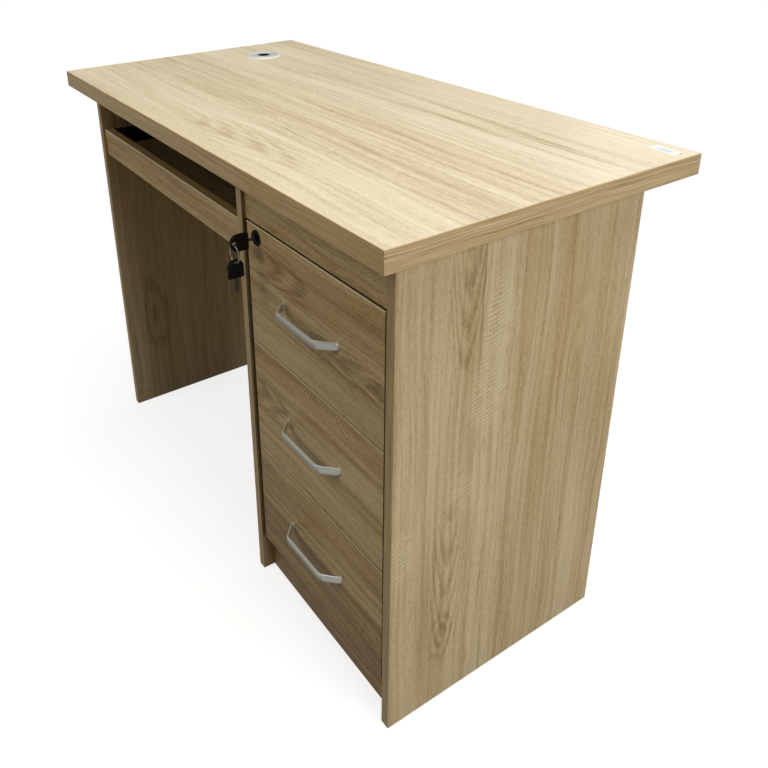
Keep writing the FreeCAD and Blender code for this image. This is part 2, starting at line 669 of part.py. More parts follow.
def bow_handle(centre):
    """Flat bow with slanting legs and short threaded feet, standing on a drawer front at a point."""
    half = HANDLE_LENGTH / 2
    leg_run = HANDLE_PROUD - HANDLE_FOOT_RISE
    outer_bend_x = half - leg_run
    inner_slope = half + HANDLE_FOOT_RISE - HANDLE_THICK * 2 ** 0.5
    inner_depth = HANDLE_PROUD - HANDLE_THICK
    inner_bend_x = inner_slope - inner_depth
    foot_x = half - HANDLE_FOOT
    foot_depth = inner_slope - foot_x
    right = [
        (inner_bend_x, -inner_depth, HANDLE_INNER_BEND),
        (foot_x, -foot_depth, HANDLE_FOOT_BEND),
        (foot_x, 0, 0),
        (half, 0, 0),
        (half, -HANDLE_FOOT_RISE, HANDLE_FOOT_BEND),
        (outer_bend_x, -HANDLE_PROUD, HANDLE_OUTER_BEND),
    ]
    left = [(-x, y, radius) for x, y, radius in reversed(right)]
    bow = Part.Face(rounded_outline(right + left)).extrude(Z_AXIS * HANDLE_WIDTH)
    rims = []
    for edge in bow.Edges:
        box = edge.BoundBox
        flat = box.ZLength < HANDLE_EDGE
        on_foot = box.YMax > -OVERRUN and box.YLength < OVERRUN
        if flat and not on_foot:
            rims.append(edge)
    bow = bow.makeFillet(HANDLE_EDGE, rims)
    bow.translate(centre - Z_AXIS * (HANDLE_WIDTH / 2))
    holes = []
    hole_radius, hole_length = SCREW_RADIUS + SCREW_CLEARANCE, HANDLE_THREAD_DEPTH + OVERRUN
    for side in (-1, 1):
        mouth = centre + X_AXIS * (side * (half - HANDLE_FOOT / 2)) + Y_AXIS * OVERRUN
        holes.append(rod(hole_radius, mouth, Y_AXIS * -1, hole_length))
    return bow.cut(holes)


def handle_screw(tip):
    """Pan-head screw from inside the drawer, with a cross recess in its head."""
    length = SCREW_ENGAGEMENT + BOARD
    head_start = tip + Y_AXIS * length
    head = rod(SCREW_HEAD_RADIUS, head_start, Y_AXIS, SCREW_HEAD_THICK)
    end = head_start + Y_AXIS * SCREW_HEAD_THICK
    long_arm, short_arm = SCREW_RECESS_LENGTH / 2, SCREW_RECESS_WIDTH / 2
    arms = []
    for half_x, half_z in ((long_arm, short_arm), (short_arm, long_arm)):
        arms.append(block(
            end.x - half_x, end.x + half_x, end.y - SCREW_RECESS_DEPTH, end.y + OVERRUN,
            end.z - half_z, end.z + half_z
        ))
    return rod(SCREW_RADIUS, tip, Y_AXIS, length).fuse(head.cut(arms))


def build_drawer(number):
    """One drawer, counted from the top: front, box, handle, screws and moving slide members."""
    front_top = FRONTS_TOP - (number - 1) * DRAWER_PITCH
    front_bottom = front_top - DRAWER_FRONT_HEIGHT
    box_bottom = front_bottom + BOX_LIFT
    box_top = box_bottom + BOX_HEIGHT
    groove_z = box_bottom + BOX_BOTTOM_RISE
    groove = block(
        BOX_LEFT + BOX_BOARD - GROOVE_DEPTH, BOX_RIGHT - BOX_BOARD + GROOVE_DEPTH,
        FRONT_BACK - GROOVE_DEPTH, BOX_BACK - BOX_BOARD + GROOVE_DEPTH,
        groove_z, groove_z + BOX_BOTTOM_THICK + GROOVE_CLEARANCE
    )
    left, right = MIDDLE_RIGHT + DRAWER_SIDE_GAP, RIGHT_INNER - DRAWER_SIDE_GAP
    handle_z = (front_bottom + front_top) / 2 + HANDLE_RISE
    hole_xs = [DRAWER_CENTRE + side * (HANDLE_LENGTH - HANDLE_FOOT) / 2 for side in (-1, 1)]
    cuts = [groove]
    through = BOARD + 2 * OVERRUN
    for x in hole_xs:
        cuts.append(rod(SCREW_HOLE_RADIUS, Vector(x, FRONT_FACE - OVERRUN, handle_z), Y_AXIS, through))
    if number == 1:
        lock_start = Vector(LOCK_X, FRONT_FACE - OVERRUN, LOCK_Z)
        cuts.append(rod(LOCK_BARREL_RADIUS + LOCK_HOLE_CLEARANCE, lock_start, Y_AXIS, through))
    prefix = f"drawer_{number}"
    front = block(left, right, FRONT_FACE, FRONT_BACK, front_bottom, front_top)
    save(f"{prefix}_front", front_rounded(front, FRONT_FACE).cut(cuts))
    side = block(BOX_LEFT, BOX_LEFT + BOX_BOARD, FRONT_BACK, BOX_BACK, box_bottom, box_top).cut(groove)
    save(f"{prefix}_left_side", side)
    save(f"{prefix}_right_side", x_mirrored(side, DRAWER_CENTRE))
    inner_left, inner_right = BOX_LEFT + BOX_BOARD, BOX_RIGHT - BOX_BOARD
    back = block(inner_left, inner_right, BOX_BACK - BOX_BOARD, BOX_BACK, box_bottom, box_top)
    save(f"{prefix}_back", back.cut(groove))
    bottom = block(
        inner_left - BOTTOM_REACH, inner_right + BOTTOM_REACH, FRONT_BACK - BOTTOM_REACH,
        BOX_BACK - BOX_BOARD + BOTTOM_REACH, groove_z, groove_z + BOX_BOTTOM_THICK
    )
    save(f"{prefix}_bottom", bottom)
    save(f"{prefix}_handle", bow_handle(Vector(DRAWER_CENTRE, FRONT_FACE, handle_z)))
    screws = [handle_screw(Vector(x, FRONT_FACE - SCREW_ENGAGEMENT, handle_z)) for x in hole_xs]
    save(f"{prefix}_handle_screws", grouped(screws))
    level = front_bottom + SLIDE_RISE
    return slide_pair(MIDDLE_RIGHT, RIGHT_INNER, FRONT_BACK, level, BOX_BACK - FRONT_BACK)


def build_drawers():
    """All drawers, with the fixed members of their slides in one group."""
    fixed = []
    for number in range(1, DRAWER_COUNT + 1):
        outers, middles, inners = build_drawer(number)
        fixed += outers
        save(f"drawer_{number}_slide_middles", grouped(middles))
        save(f"drawer_{number}_slide_inners", grouped(inners))
    save("drawer_slide_outers", grouped(fixed))


def build_tray():
    """Keyboard tray: front strip, shelf, angle brackets and slides."""
    left, right = LEFT_INNER + TRAY_SIDE_GAP, MIDDLE_LEFT - TRAY_SIDE_GAP
    strip = block(left, right, TRAY_FACE, TRAY_FRONT_BACK, TRAY_BOTTOM, TRAY_TOP)
    save("tray_front", front_rounded(strip, TRAY_FACE))
    bracket_left = LEFT_INNER + SLIDE_SPACE
    board_left = bracket_left + BRACKET_BEND
    board_right = MIDDLE_LEFT - SLIDE_SPACE - BRACKET_BEND
    board_bottom = TRAY_BOTTOM + TRAY_BOARD_RISE
    board_top = board_bottom + BOARD
    board_back = TRAY_FRONT_BACK + TRAY_BOARD_DEPTH
    board = block(board_left, board_right, TRAY_FRONT_BACK, board_back, board_bottom, board_top)

    flange_bottom = board_bottom - BRACKET_SHEET
    section = [
        (bracket_left, flange_bottom, BRACKET_BEND),
        (bracket_left + BRACKET_FLANGE, flange_bottom, 0),
        (bracket_left + BRACKET_FLANGE, board_bottom, 0),
        (bracket_left + BRACKET_SHEET, board_bottom, BRACKET_BEND - BRACKET_SHEET),
        (bracket_left + BRACKET_SHEET, flange_bottom + BRACKET_HEIGHT, 0),
        (bracket_left, flange_bottom + BRACKET_HEIGHT, 0),
    ]
    face = Part.Face(rounded_outline(section))
    length = TRAY_BOARD_DEPTH - BRACKET_END_INSET
    bracket = face.extrude(Z_AXIS * length)
    bracket.rotate(Vector(0, 0, 0), X_AXIS, 90)
    bracket.translate(Y_AXIS * (TRAY_FRONT_BACK + BRACKET_END_INSET / 2 + length))
    centre = (LEFT_INNER + MIDDLE_LEFT) / 2
    screw_x = bracket_left + BRACKET_SHEET + (BRACKET_FLANGE - BRACKET_SHEET) / 2
    first_y = TRAY_FRONT_BACK + BRACKET_END_INSET / 2 + TRAY_SCREW_INSET
    step = (length - 2 * TRAY_SCREW_INSET) / (TRAY_SCREW_COUNT - 1)
    pilot_length = BRACKET_SHEET + OVERRUN + TRAY_SCREW_GRIP
    holes, screws, pilots = [], [], []
    for i in range(TRAY_SCREW_COUNT):
        y = first_y + i * step
        under = Vector(screw_x, y, flange_bottom - OVERRUN)
        holes.append(rod(SCREW_HOLE_RADIUS, under, Z_AXIS, BRACKET_SHEET + 2 * OVERRUN))
        pilots.append(rod(SCREW_RADIUS + SCREW_CLEARANCE, under, Z_AXIS, pilot_length))
        screws.append(tray_screw(screw_x, y, flange_bottom))
    bracket = bracket.cut(holes)
    pilots += [x_mirrored(pilot, centre) for pilot in pilots]
    save("tray_board", board.cut(pilots))
    save("tray_brackets", grouped([bracket, x_mirrored(bracket, centre)]))
    save("tray_screws", grouped(screws + [x_mirrored(screw, centre) for screw in screws]))
    outers, middles, inners = slide_pair(
        LEFT_INNER, MIDDLE_LEFT, TRAY_FRONT_BACK, TRAY_SLIDE_LEVEL, TRAY_SLIDE_LENGTH
    )
    save("tray_slide_outers", grouped(outers))
    save("tray_slide_middles", grouped(middles))
    save("tray_slide_inners", grouped(inners))


def tray_screw(x, y, mouth_z):
    """Pan-head screw under a bracket's flange, its shank up in the shelf."""
    head = rod(SCREW_HEAD_RADIUS, Vector(x, y, mouth_z), Z_AXIS * -1, TRAY_SCREW_HEAD)
    return head.fuse(rod(SCREW_RADIUS, Vector(x, y, mouth_z), Z_AXIS, BRACKET_SHEET + TRAY_SCREW_GRIP))


def build_lock():
    """Housing, nut, plug and cam of the lock in the top drawer's front."""
    face = Vector(LOCK_X, FRONT_FACE, LOCK_Z)
    flange = rod(LOCK_FLANGE_RADIUS, face, Y_AXIS * -1, LOCK_FLANGE_THICK)
    rim = [edge for edge in flange.Edges if edge.BoundBox.YMax < FRONT_FACE - LOCK_FLANGE_THICK / 2]
    flange = flange.makeChamfer(LOCK_FLANGE_EDGE, rim)
    barrel = rod(LOCK_BARREL_RADIUS, face, Y_AXIS, LOCK_BARREL_LENGTH)
    bore_start = face - Y_AXIS * (LOCK_FLANGE_THICK + OVERRUN)
    bore_length = LOCK_BARREL_LENGTH + LOCK_FLANGE_THICK + 2 * OVERRUN
    bore = rod(PLUG_RADIUS + PLUG_CLEARANCE, bore_start, Y_AXIS, bore_length)
    save("lock_housing", flange.fuse(barrel).cut(bore))

    nut_start = Vector(LOCK_X, FRONT_BACK, LOCK_Z)
    nut_corner = NUT_ACROSS_FLATS / 2 / cos(radians(30))
    corners = []
    for i in range(6):
        angle = radians(60 * i + 30)
        corners.append(nut_start + Vector(nut_corner * cos(angle), 0, nut_corner * sin(angle)))
    hole_start = nut_start - Y_AXIS * OVERRUN
    nut_hole = rod(LOCK_BARREL_RADIUS + NUT_CLEARANCE, hole_start, Y_AXIS, NUT_THICK + 2 * OVERRUN)
    save("lock_nut", prism(corners, Y_AXIS * NUT_THICK).cut(nut_hole))

    plug_start = Vector(LOCK_X, PLUG_FACE, LOCK_Z)
    cam_start = FRONT_FACE + LOCK_BARREL_LENGTH + LOCK_CAM_GAP
    plug = rod(PLUG_RADIUS, plug_start, Y_AXIS, cam_start - PLUG_FACE)
    half_tail = PLUG_TAIL_SIDE / 2
    tail = block(
        LOCK_X - half_tail, LOCK_X + half_tail, cam_start - OVERRUN, cam_start + LOCK_CAM_THICK,
        LOCK_Z - half_tail, LOCK_Z + half_tail
    )
    half_way = KEY_BLADE_THICK / 2 + KEYWAY_CLEARANCE
    half_slot = KEY_BLADE_HEIGHT / 2 + KEYWAY_CLEARANCE
    keyway_end = PLUG_FACE + KEY_BLADE_IN_LOCK + KEYWAY_END
    keyway = block(
        LOCK_X - half_way, LOCK_X + half_way, PLUG_FACE - OVERRUN, keyway_end,
        LOCK_Z - half_slot, LOCK_Z + half_slot
    )
    save("lock_plug", plug.fuse(tail).cut(keyway))

    half_cam = LOCK_CAM_WIDTH / 2
    plate_points = [
        (-half_cam, -half_cam, LOCK_CAM_CORNER),
        (LOCK_CAM_REACH, -half_cam, LOCK_CAM_CORNER),
        (LOCK_CAM_REACH, half_cam, LOCK_CAM_CORNER),
        (-half_cam, half_cam, LOCK_CAM_CORNER),
    ]
    plate = Part.Face(rounded_outline(plate_points)).extrude(Z_AXIS * LOCK_CAM_THICK)
    half_hole = half_tail + PLUG_TAIL_CLEARANCE
    hole_top = LOCK_CAM_THICK + OVERRUN
    plate = plate.cut(block(-half_hole, half_hole, -half_hole, half_hole, -OVERRUN, hole_top))
    plate.rotate(Vector(0, 0, 0), X_AXIS, 90)
    cam_back = Vector(LOCK_X, cam_start + LOCK_CAM_THICK, LOCK_Z)
    plate.translate(cam_back)
    screw = rod(CAM_SCREW_RADIUS, cam_back, Y_AXIS, CAM_SCREW_THICK)
    save("lock_cam", grouped([plate, screw]))


def key_blade():
    """Flat blade along +Y out of the bow, bits in its lower edge. The bow's hole is at the origin."""
    half_thick, half_height = KEY_BLADE_THICK / 2, KEY_BLADE_HEIGHT / 2
    tip = BOW_ROOT + KEY_SHOWN + KEY_BLADE_IN_LOCK
    y = tip - half_height
    outline = [(BOW_ROOT - BOW_GRIP, half_height), (y, half_height), (tip, 0), (y, -half_height)]
    for _ in range(KEY_BITS):
        outline.append((y - KEY_BIT_PITCH / 2, KEY_BIT_DEPTH - half_height))
        y -= KEY_BIT_PITCH
        outline.append((y, -half_height))
    outline.append((BOW_ROOT - BOW_GRIP, -half_height))
    return prism([Vector(-half_thick, y, z) for y, z in outline], X_AXIS * KEY_BLADE_THICK)


def key_bow():
    """Moulded bow, square at the blade and round at the far end. Its ring hole is at the origin."""
    half_width = BOW_WIDTH / 2
    corners = [
        (BOW_ROOT, -half_width, BOW_CORNER),
        (BOW_ROOT, half_width, BOW_CORNER),
        (-BOW_HOLE_INSET, half_width, half_width),
        (-BOW_HOLE_INSET, -half_width, half_width),
    ]
    bow = Part.Face(rounded_outline(corners)).extrude(Z_AXIS * BOW_THICK)
    rims = [edge for edge in bow.Edges if edge.BoundBox.ZLength < BOW_THICK / 2]
    bow = bow.makeFillet(BOW_EDGE, rims)
    bow.rotate(Vector(0, 0, 0), Vector(1, 1, 1), 120)
    bow.translate(X_AXIS * (-BOW_THICK / 2))
    hole = rod(BOW_HOLE_RADIUS, Vector(-BOW_THICK, 0, 0), X_AXIS, 2 * BOW_THICK)
    half_pocket = KEY_BLADE_THICK / 2 + BLADE_POCKET_CLEARANCE
    half_height = KEY_BLADE_HEIGHT / 2 + BLADE_POCKET_CLEARANCE
    pocket_start, pocket_end = BOW_ROOT - BOW_GRIP, BOW_ROOT + OVERRUN
    pocket = block(-half_pocket, half_pocket, pocket_start, pocket_end, -half_height, half_height)
    return bow.cut([hole, pocket])


def build_keys():
    """The key in the lock, the ring through its bow and the spare key that hangs on the ring."""
    hole = Vector(LOCK_X, PLUG_FACE - KEY_SHOWN - BOW_ROOT, LOCK_Z)
    save("key_blade", key_blade().translated(hole))
    save("key_bow", key_bow().translated(hole))
    ring_centre = hole - Z_AXIS * (RING_SEAT + RING_RADIUS)
    save("key_ring", Part.makeTorus(RING_RADIUS, RING_WIRE_RADIUS, ring_centre, Y_AXIS))
    spare_hole = ring_centre - Z_AXIS * (RING_RADIUS + RING_SEAT)
    for name, shape in (("spare_key_blade", key_blade()), ("spare_key_bow", key_bow())):
        shape.rotate(Vector(0, 0, 0), X_AXIS, -90)
        save(name, shape.translated(spare_hole))


build_carcass()
build_grommet()
build_drawers()
build_tray()
build_lock()
build_keys()
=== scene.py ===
from math import cos, pi, radians, sin

import bpy
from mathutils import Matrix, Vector


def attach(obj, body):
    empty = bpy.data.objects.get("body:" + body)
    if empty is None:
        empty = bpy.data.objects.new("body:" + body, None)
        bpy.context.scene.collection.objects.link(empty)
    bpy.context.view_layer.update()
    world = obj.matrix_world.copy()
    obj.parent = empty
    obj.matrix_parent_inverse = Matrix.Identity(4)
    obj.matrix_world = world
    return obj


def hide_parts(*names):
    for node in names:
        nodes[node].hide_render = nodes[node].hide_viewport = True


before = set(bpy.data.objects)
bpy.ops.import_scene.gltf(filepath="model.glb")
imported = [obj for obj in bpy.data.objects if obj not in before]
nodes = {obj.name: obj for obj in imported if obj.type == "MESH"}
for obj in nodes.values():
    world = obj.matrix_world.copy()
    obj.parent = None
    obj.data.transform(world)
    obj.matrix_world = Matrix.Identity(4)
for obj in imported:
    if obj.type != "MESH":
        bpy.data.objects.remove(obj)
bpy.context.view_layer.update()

# Looks of the computer desk. Lengths are metres, in the CAD model's own frame.
scene = bpy.context.scene


# Finishes

def paint(red, green, blue):
    """Colour from a chart's 0-255 values, as the shader wants it."""
    out = []
    for value in (red, green, blue):
        share = value / 255
        out.append(share / 12.92 if share <= 0.04045 else ((share + 0.055) / 1.055) ** 2.4)
    return (*out, 1.0)


class Finish:
    """A material, with one short method for each kind of node that the finishes need."""

    def __init__(self, name):
        self.material = bpy.data.materials.new(name)
        self.material.use_nodes = True
        self.nodes = self.material.node_tree.nodes
        self.links = self.material.node_tree.links
        self.nodes.clear()
        output = self.nodes.new("ShaderNodeOutputMaterial")
        self.shader = self.nodes.new("ShaderNodeBsdfPrincipled")
        self.links.new(self.shader.outputs[0], output.inputs[0])
        self.place = self.nodes.new("ShaderNodeTexCoord").outputs["Object"]
        self.axes = self.parts(self.place)

    def put(self, socket, value):
        if isinstance(value, bpy.types.NodeSocket):
            self.links.new(value, socket)
        else:
            socket.default_value = value

    def set(self, **values):
        for name, value in values.items():
            self.put(self.shader.inputs[name.replace("_", " ")], value)

    def parts(self, vector):
        node = self.nodes.new("ShaderNodeSeparateXYZ")
        self.put(node.inputs[0], vector)
        return node.outputs[0], node.outputs[1], node.outputs[2]

    def joined(self, x, y, z):
        node = self.nodes.new("ShaderNodeCombineXYZ")
        for socket, value in zip(node.inputs, (x, y, z)):
            self.put(socket, value)
        return node.outputs[0]

    def math(self, operation, first, second=0.0, third=0.0):
        node = self.nodes.new("ShaderNodeMath")
        node.operation = operation
        for socket, value in zip(node.inputs, (first, second, third)):
            self.put(socket, value)
        return node.outputs[0]

    def add(self, first, second):
        return self.math("ADD", first, second)

    def times(self, first, second):
        return self.math("MULTIPLY", first, second)

    def mixed(self, share, first, second, blend="MIX"):
        node = self.nodes.new("ShaderNodeMix")
        node.data_type = "RGBA"
        node.blend_type = blend
        for socket, value in zip((node.inputs[0], node.inputs[6], node.inputs[7]), (share, first, second)):
            self.put(socket, value)
        return node.outputs[2]

    def spread(self, value, low, high, to_low=0.0, to_high=1.0):
        """Smooth step of a value from one range to another."""
        node = self.nodes.new("ShaderNodeMapRange")
        node.interpolation_type = "SMOOTHSTEP"
        for socket, number in zip(node.inputs, (value, low, high, to_low, to_high)):
            self.put(socket, number)
        return node.outputs[0]

    def ramp(self, value, stops):
        node = self.nodes.new("ShaderNodeValToRGB")
        bank = node.color_ramp.elements
        while len(bank) < len(stops):
            bank.new(0.5)
        for element, (position, colour) in zip(bank, stops):
            element.position = position
            element.color = colour
        self.put(node.inputs[0], value)
        return node.outputs[0]

    def noise(self, vector, scale=1.0, detail=2.0, rough=0.5, twist=0.0):
        node = self.nodes.new("ShaderNodeTexNoise")
        for name, value in (("Vector", vector), ("Scale", scale), ("Detail", detail), ("Roughness", rough)):
            self.put(node.inputs[name], value)
        self.put(node.inputs["Distortion"], twist)
        return node.outputs[0]

    def cells(self, vector, scale):
        """A random colour for each cell."""
        node = self.nodes.new("ShaderNodeTexVoronoi")
        self.put(node.inputs["Vector"], vector)
        self.put(node.inputs["Scale"], scale)
        return node.outputs["Color"]

    def relief(self, height, distance, strength=1.0):
        """Bump from a height of 0-1 over a distance in metres."""
        node = self.nodes.new("ShaderNodeBump")
        self.put(node.inputs["Strength"], strength)
        self.put(node.inputs["Distance"], distance)
        self.put(node.inputs["Height"], height)
        self.links.new(node.outputs[0], self.shader.inputs["Normal"])

    def steps(self, value, low, bands):
        """Colour that changes sharply where one stave meets the next: (upper edge, colour) in order."""
        high = bands[-1][0]
        inside = self.math("SUBTRACT", self.math("WRAP", value, high, low), low)
        share = self.math("DIVIDE", inside, high - low)
        starts = [low] + [edge for edge, _ in bands[:-1]]
        stops = [((start - low) / (high - low), (*tone, 1.0)) for start, (_, tone) in zip(starts, bands)]
        colour = self.ramp(share, stops)
        colour.node.color_ramp.interpolation = "CONSTANT"
        return self.parts(colour)

    def within(self, u, v, patch):
        """How far inside an oval patch a point lies, with the two distances from its middle."""
        middle_u, middle_v, half_u, half_v = patch
        along = self.math("DIVIDE", self.math("SUBTRACT", u, middle_u), half_u)
        over = self.math("DIVIDE", self.math("SUBTRACT", v, middle_v), half_v)
        square = self.add(self.times(along, along), self.times(over, over))
        return self.spread(square, 0.35, 1.0, 1.0, 0.0), along, over

    def facing(self, axis):
        """How squarely a face looks along one axis, 0 to 1."""
        node = self.nodes.new("ShaderNodeNewGeometry")
        return self.math("ABSOLUTE", self.parts(node.outputs["Normal"])[axis])


X, Y, Z = 0, 1, 2

# Where the painted highlight lines and the painted shade of the slits lie in the finishes
SOFT_STEP = 0.0005
FADE = 0.0006
SLIT_DEPTH = (-0.2005, -0.1985)
SLIT_LEFT = (0.1210, 0.1218)
RAIL_SEAM = (0.60, 0.61)
SLIT_FADE = 0.002
LIP_LINE = 0.0018
SAW_PITCH = 0.0060
PIN_HOLE_EDGE = (0.0006, 0.0012)
PANEL_SLIT = (0.07, 0.4)
FRONT_SLIT = (0.262, 0.4495)


def in_shaded_slits(finish, lowest, last_x):
    """How far a point lies in the slits round the drawer fronts and under the rail, where shade is painted
    in, 0 to 1.
    """
    x, y, z = finish.axes
    near = finish.spread(y, *SLIT_DEPTH, 1.0, 0.0)
    across = finish.spread(x, last_x, last_x + SOFT_STEP, 1.0, 0.0)
    across = finish.times(finish.spread(x, *SLIT_LEFT), across)
    beside = finish.spread(finish.facing(X), 0.2, 0.4)
    beside = finish.times(beside, finish.spread(z, lowest, lowest + SLIT_FADE))
    above = finish.times(finish.spread(finish.facing(Z), 0.95, 0.995), finish.spread(z, *RAIL_SEAM))
    return finish.times(finish.times(near, across), finish.math("MAXIMUM", beside, above))


def on_lip_highlight(finish, top, first_x, last_x):
    """How far a point belongs to the painted highlight line under a front's top edge, 0 to 1."""
    x, _, z = finish.axes
    line = finish.spread(z, top - LIP_LINE, top - LIP_LINE + FADE)
    line = finish.times(line, finish.spread(z, top, top + SOFT_STEP, 1.0, 0.0))
    line = finish.times(line, finish.spread(x, first_x, first_x + SOFT_STEP))
    line = finish.times(line, finish.spread(x, last_x, last_x + SOFT_STEP, 1.0, 0.0))
    return finish.times(line, finish.spread(finish.facing(Y), 0.2, 0.5))


def particle_core(finish):
    """Colour of the pressed chips at a board's bare edge."""
    chips = finish.cells(finish.place, 420)
    grit = finish.noise(finish.place, 900, 2)
    tone = finish.add(finish.times(finish.parts(chips)[0], 0.7), finish.times(grit, 0.4))
    shades = [(0.1, paint(118, 88, 55)), (0.5, paint(170, 138, 96)), (0.95, paint(209, 182, 140))]
    return finish.ramp(tone, shades)


def oak_laminate(
    name, grain, across, depth, shades, staves, arches=(), eyes=(), combs=(), saw=0.3, sheen=0.42,
    contrast=1.0, bold=0.17, edge=None, slit=None, lip_highlights=(), bare_ends=False
):
    """Printed oak: staves side by side, with drifting streaks, fibres, figure and pale saw marks.

    Grain, across and depth are axes. Staves are a lower edge, then (upper edge, (tone, warmth, saw marks)).
    A patch is (middle along, middle across, half, half), with its count of rings where it has some.
    A slit is (lowest z, last x) of the painted shade round the fronts, and a lip is (top z, first x, last x)
    of a painted highlight line.
    """
    light, middle, dark, warm = shades
    finish = Finish(name)
    u, v, w = finish.axes[grain], finish.axes[across], finish.axes[depth]
    side = finish.add(v, finish.times(w, 1.7))
    tone, warmth, sawn = finish.steps(side, staves[0], staves[1:])
    shift = finish.times(finish.add(tone, warmth), 37.0)
    sway = finish.noise(finish.joined(finish.times(u, 2.6), finish.times(side, 7.0), shift), 1, 2, 0.5)
    wide = finish.add(side, finish.times(sway, 0.030))
    drift = finish.noise(finish.joined(finish.times(u, 1.3), finish.times(wide, 26.0), shift), 1, 3, 0.55)
    streak = finish.noise(finish.joined(finish.times(u, 3.4), finish.times(wide, 150.0), shift), 1, 3, 0.6)
    thread = finish.noise(finish.joined(finish.times(u, 62.0), finish.times(wide, 560.0), shift), 1, 3, 0.65)
    fibre = finish.noise(finish.joined(finish.times(u, 150.0), finish.times(wide, 1300.0), shift), 1, 2, 0.6)
    speck = finish.noise(finish.place, 1100, 2, 0.6)

    # growth rings: contour lines of a slow field, strongest in its middle heights
    field = finish.noise(finish.joined(finish.times(u, 1.4), finish.times(wide, 13.0), shift), 1, 1.5, 0.45)
    rings = finish.math("SINE", finish.times(finish.add(field, finish.times(streak, 0.02)), 95.0))
    rings = finish.times(rings, finish.spread(field, 0.48, 0.68))

    # placed figure: nested arches, and nested ovals round an eye
    fray = finish.times(finish.add(drift, finish.times(thread, 0.35)), 1.1)
    figure = 0.0
    for patch, count in arches:
        share, along, over = finish.within(u, side, patch)
        rise = along if count > 0 else finish.times(along, -1.0)
        nest = finish.add(finish.add(rise, finish.times(finish.times(over, over), 1.5)), fray)
        lines = finish.math("SINE", finish.times(nest, abs(count)))
        figure = finish.add(figure, finish.times(share, finish.add(finish.times(lines, 0.6), 0.45)))
    for patch, count in eyes:
        share, along, over = finish.within(u, side, patch)
        nest = finish.math("SQRT", finish.add(finish.times(along, along), finish.times(over, over)))
        lines = finish.math("SINE", finish.times(finish.add(nest, fray), count))
        figure = finish.add(figure, finish.times(share, finish.add(finish.times(lines, 0.6), 0.35)))

    level = finish.add(0.5, finish.times(finish.math("SUBTRACT", tone, 0.5), 0.9))
    for layer, gain in ((drift, 0.62), (streak, 0.95), (thread, 0.62), (fibre, 0.75), (speck, 0.55)):
        level = finish.add(level, finish.times(finish.math("SUBTRACT", layer, 0.5), gain * contrast))
    level = finish.add(level, finish.times(rings, -0.055 * contrast))
    level = finish.add(level, finish.times(figure, -bold))
    colour = finish.ramp(level, [(0.15, dark), (0.5, middle), (0.85, light)])
    brown = finish.times(warmth, finish.spread(drift, 0.36, 0.62, 1.0, 0.45))
    colour = finish.mixed(brown, colour, warm, "MULTIPLY")

    # pores: short dark strokes along the grain
    dash = finish.noise(finish.joined(finish.times(u, 130.0), finish.times(wide, 1000.0), shift), 1, 2, 0.7)
    pores = finish.spread(dash, 0.58, 0.72)
    colour = finish.mixed(finish.times(pores, 0.22 * contrast), colour, dark, "MULTIPLY")

    # saw marks: bowed pale strokes across the grain, in patches
    bow = finish.times(finish.math("SINE", finish.times(side, 52.0)), 0.006)
    wander = finish.times(finish.noise(finish.place, 22, 2), 0.012)
    lean = finish.add(finish.add(u, finish.times(side, -0.42)), finish.add(bow, wander))
    strokes = finish.spread(finish.math("SINE", finish.times(lean, 2 * pi / SAW_PITCH)), 0.15, 0.95)
    patches = finish.noise(finish.joined(finish.times(u, 4.5), finish.times(wide, 15.0), shift), 1, 1, 0.5)
    patches = finish.times(finish.spread(patches, 0.56, 0.68), sawn)
    for patch in combs:
        patches = finish.math("MAXIMUM", patches, finish.within(u, side, patch)[0])
    broken = finish.noise(finish.joined(finish.times(u, 150.0), finish.times(side, 55.0), 0.0), 1, 2)
    marks = finish.times(finish.times(strokes, patches), finish.spread(broken, 0.30, 0.50))
    colour = finish.mixed(finish.times(marks, saw), colour, light)

    # a light rubbed look where hands and cloths pass
    rub = finish.spread(finish.noise(finish.place, 3.2, 4, 0.6), 0.35, 0.75)
    rough = finish.add(sheen, finish.add(finish.times(pores, 0.14), finish.times(rub, 0.08)))
    raised = finish.add(finish.times(marks, 0.35), finish.times(thread, 0.5))
    height = finish.add(finish.times(pores, -0.8), raised)
    if edge is not None:
        turned = finish.facing(depth)
        banded = finish.spread(turned, 0.10, 0.30, 1.0, 0.0)
        colour = finish.mixed(banded, colour, finish.mixed(finish.times(streak, 0.4), edge, middle))
        # painted highlight on the rounded band edges that face up
        rim_highlight = finish.times(finish.spread(turned, 0.05, 0.25), finish.spread(turned, 0.86, 0.99, 1.0, 0.0))
        rim_highlight = finish.times(rim_highlight, finish.spread(finish.facing(Z), 0.2, 0.4))
        colour = finish.mixed(finish.times(rim_highlight, 0.8), colour, RIM_HIGHLIGHT)
    # painted highlight lines under the fronts' top edges
    for lip in lip_highlights:
        colour = finish.mixed(finish.times(on_lip_highlight(finish, *lip), 0.75), colour, RIM_HIGHLIGHT)
    if slit is not None:
        # painted shade in the slits round the drawer fronts and under the rail
        colour = finish.mixed(finish.times(in_shaded_slits(finish, *slit), 0.55), colour, SLIT_SHADE)
    if bare_ends:
        colour = finish.mixed(finish.spread(finish.facing(grain), 0.7, 0.9), colour, particle_core(finish))
    finish.set(Base_Color=colour, Roughness=rough, Specular_IOR_Level=0.4)
    finish.relief(height, 0.00006, 0.7)
    return finish.material


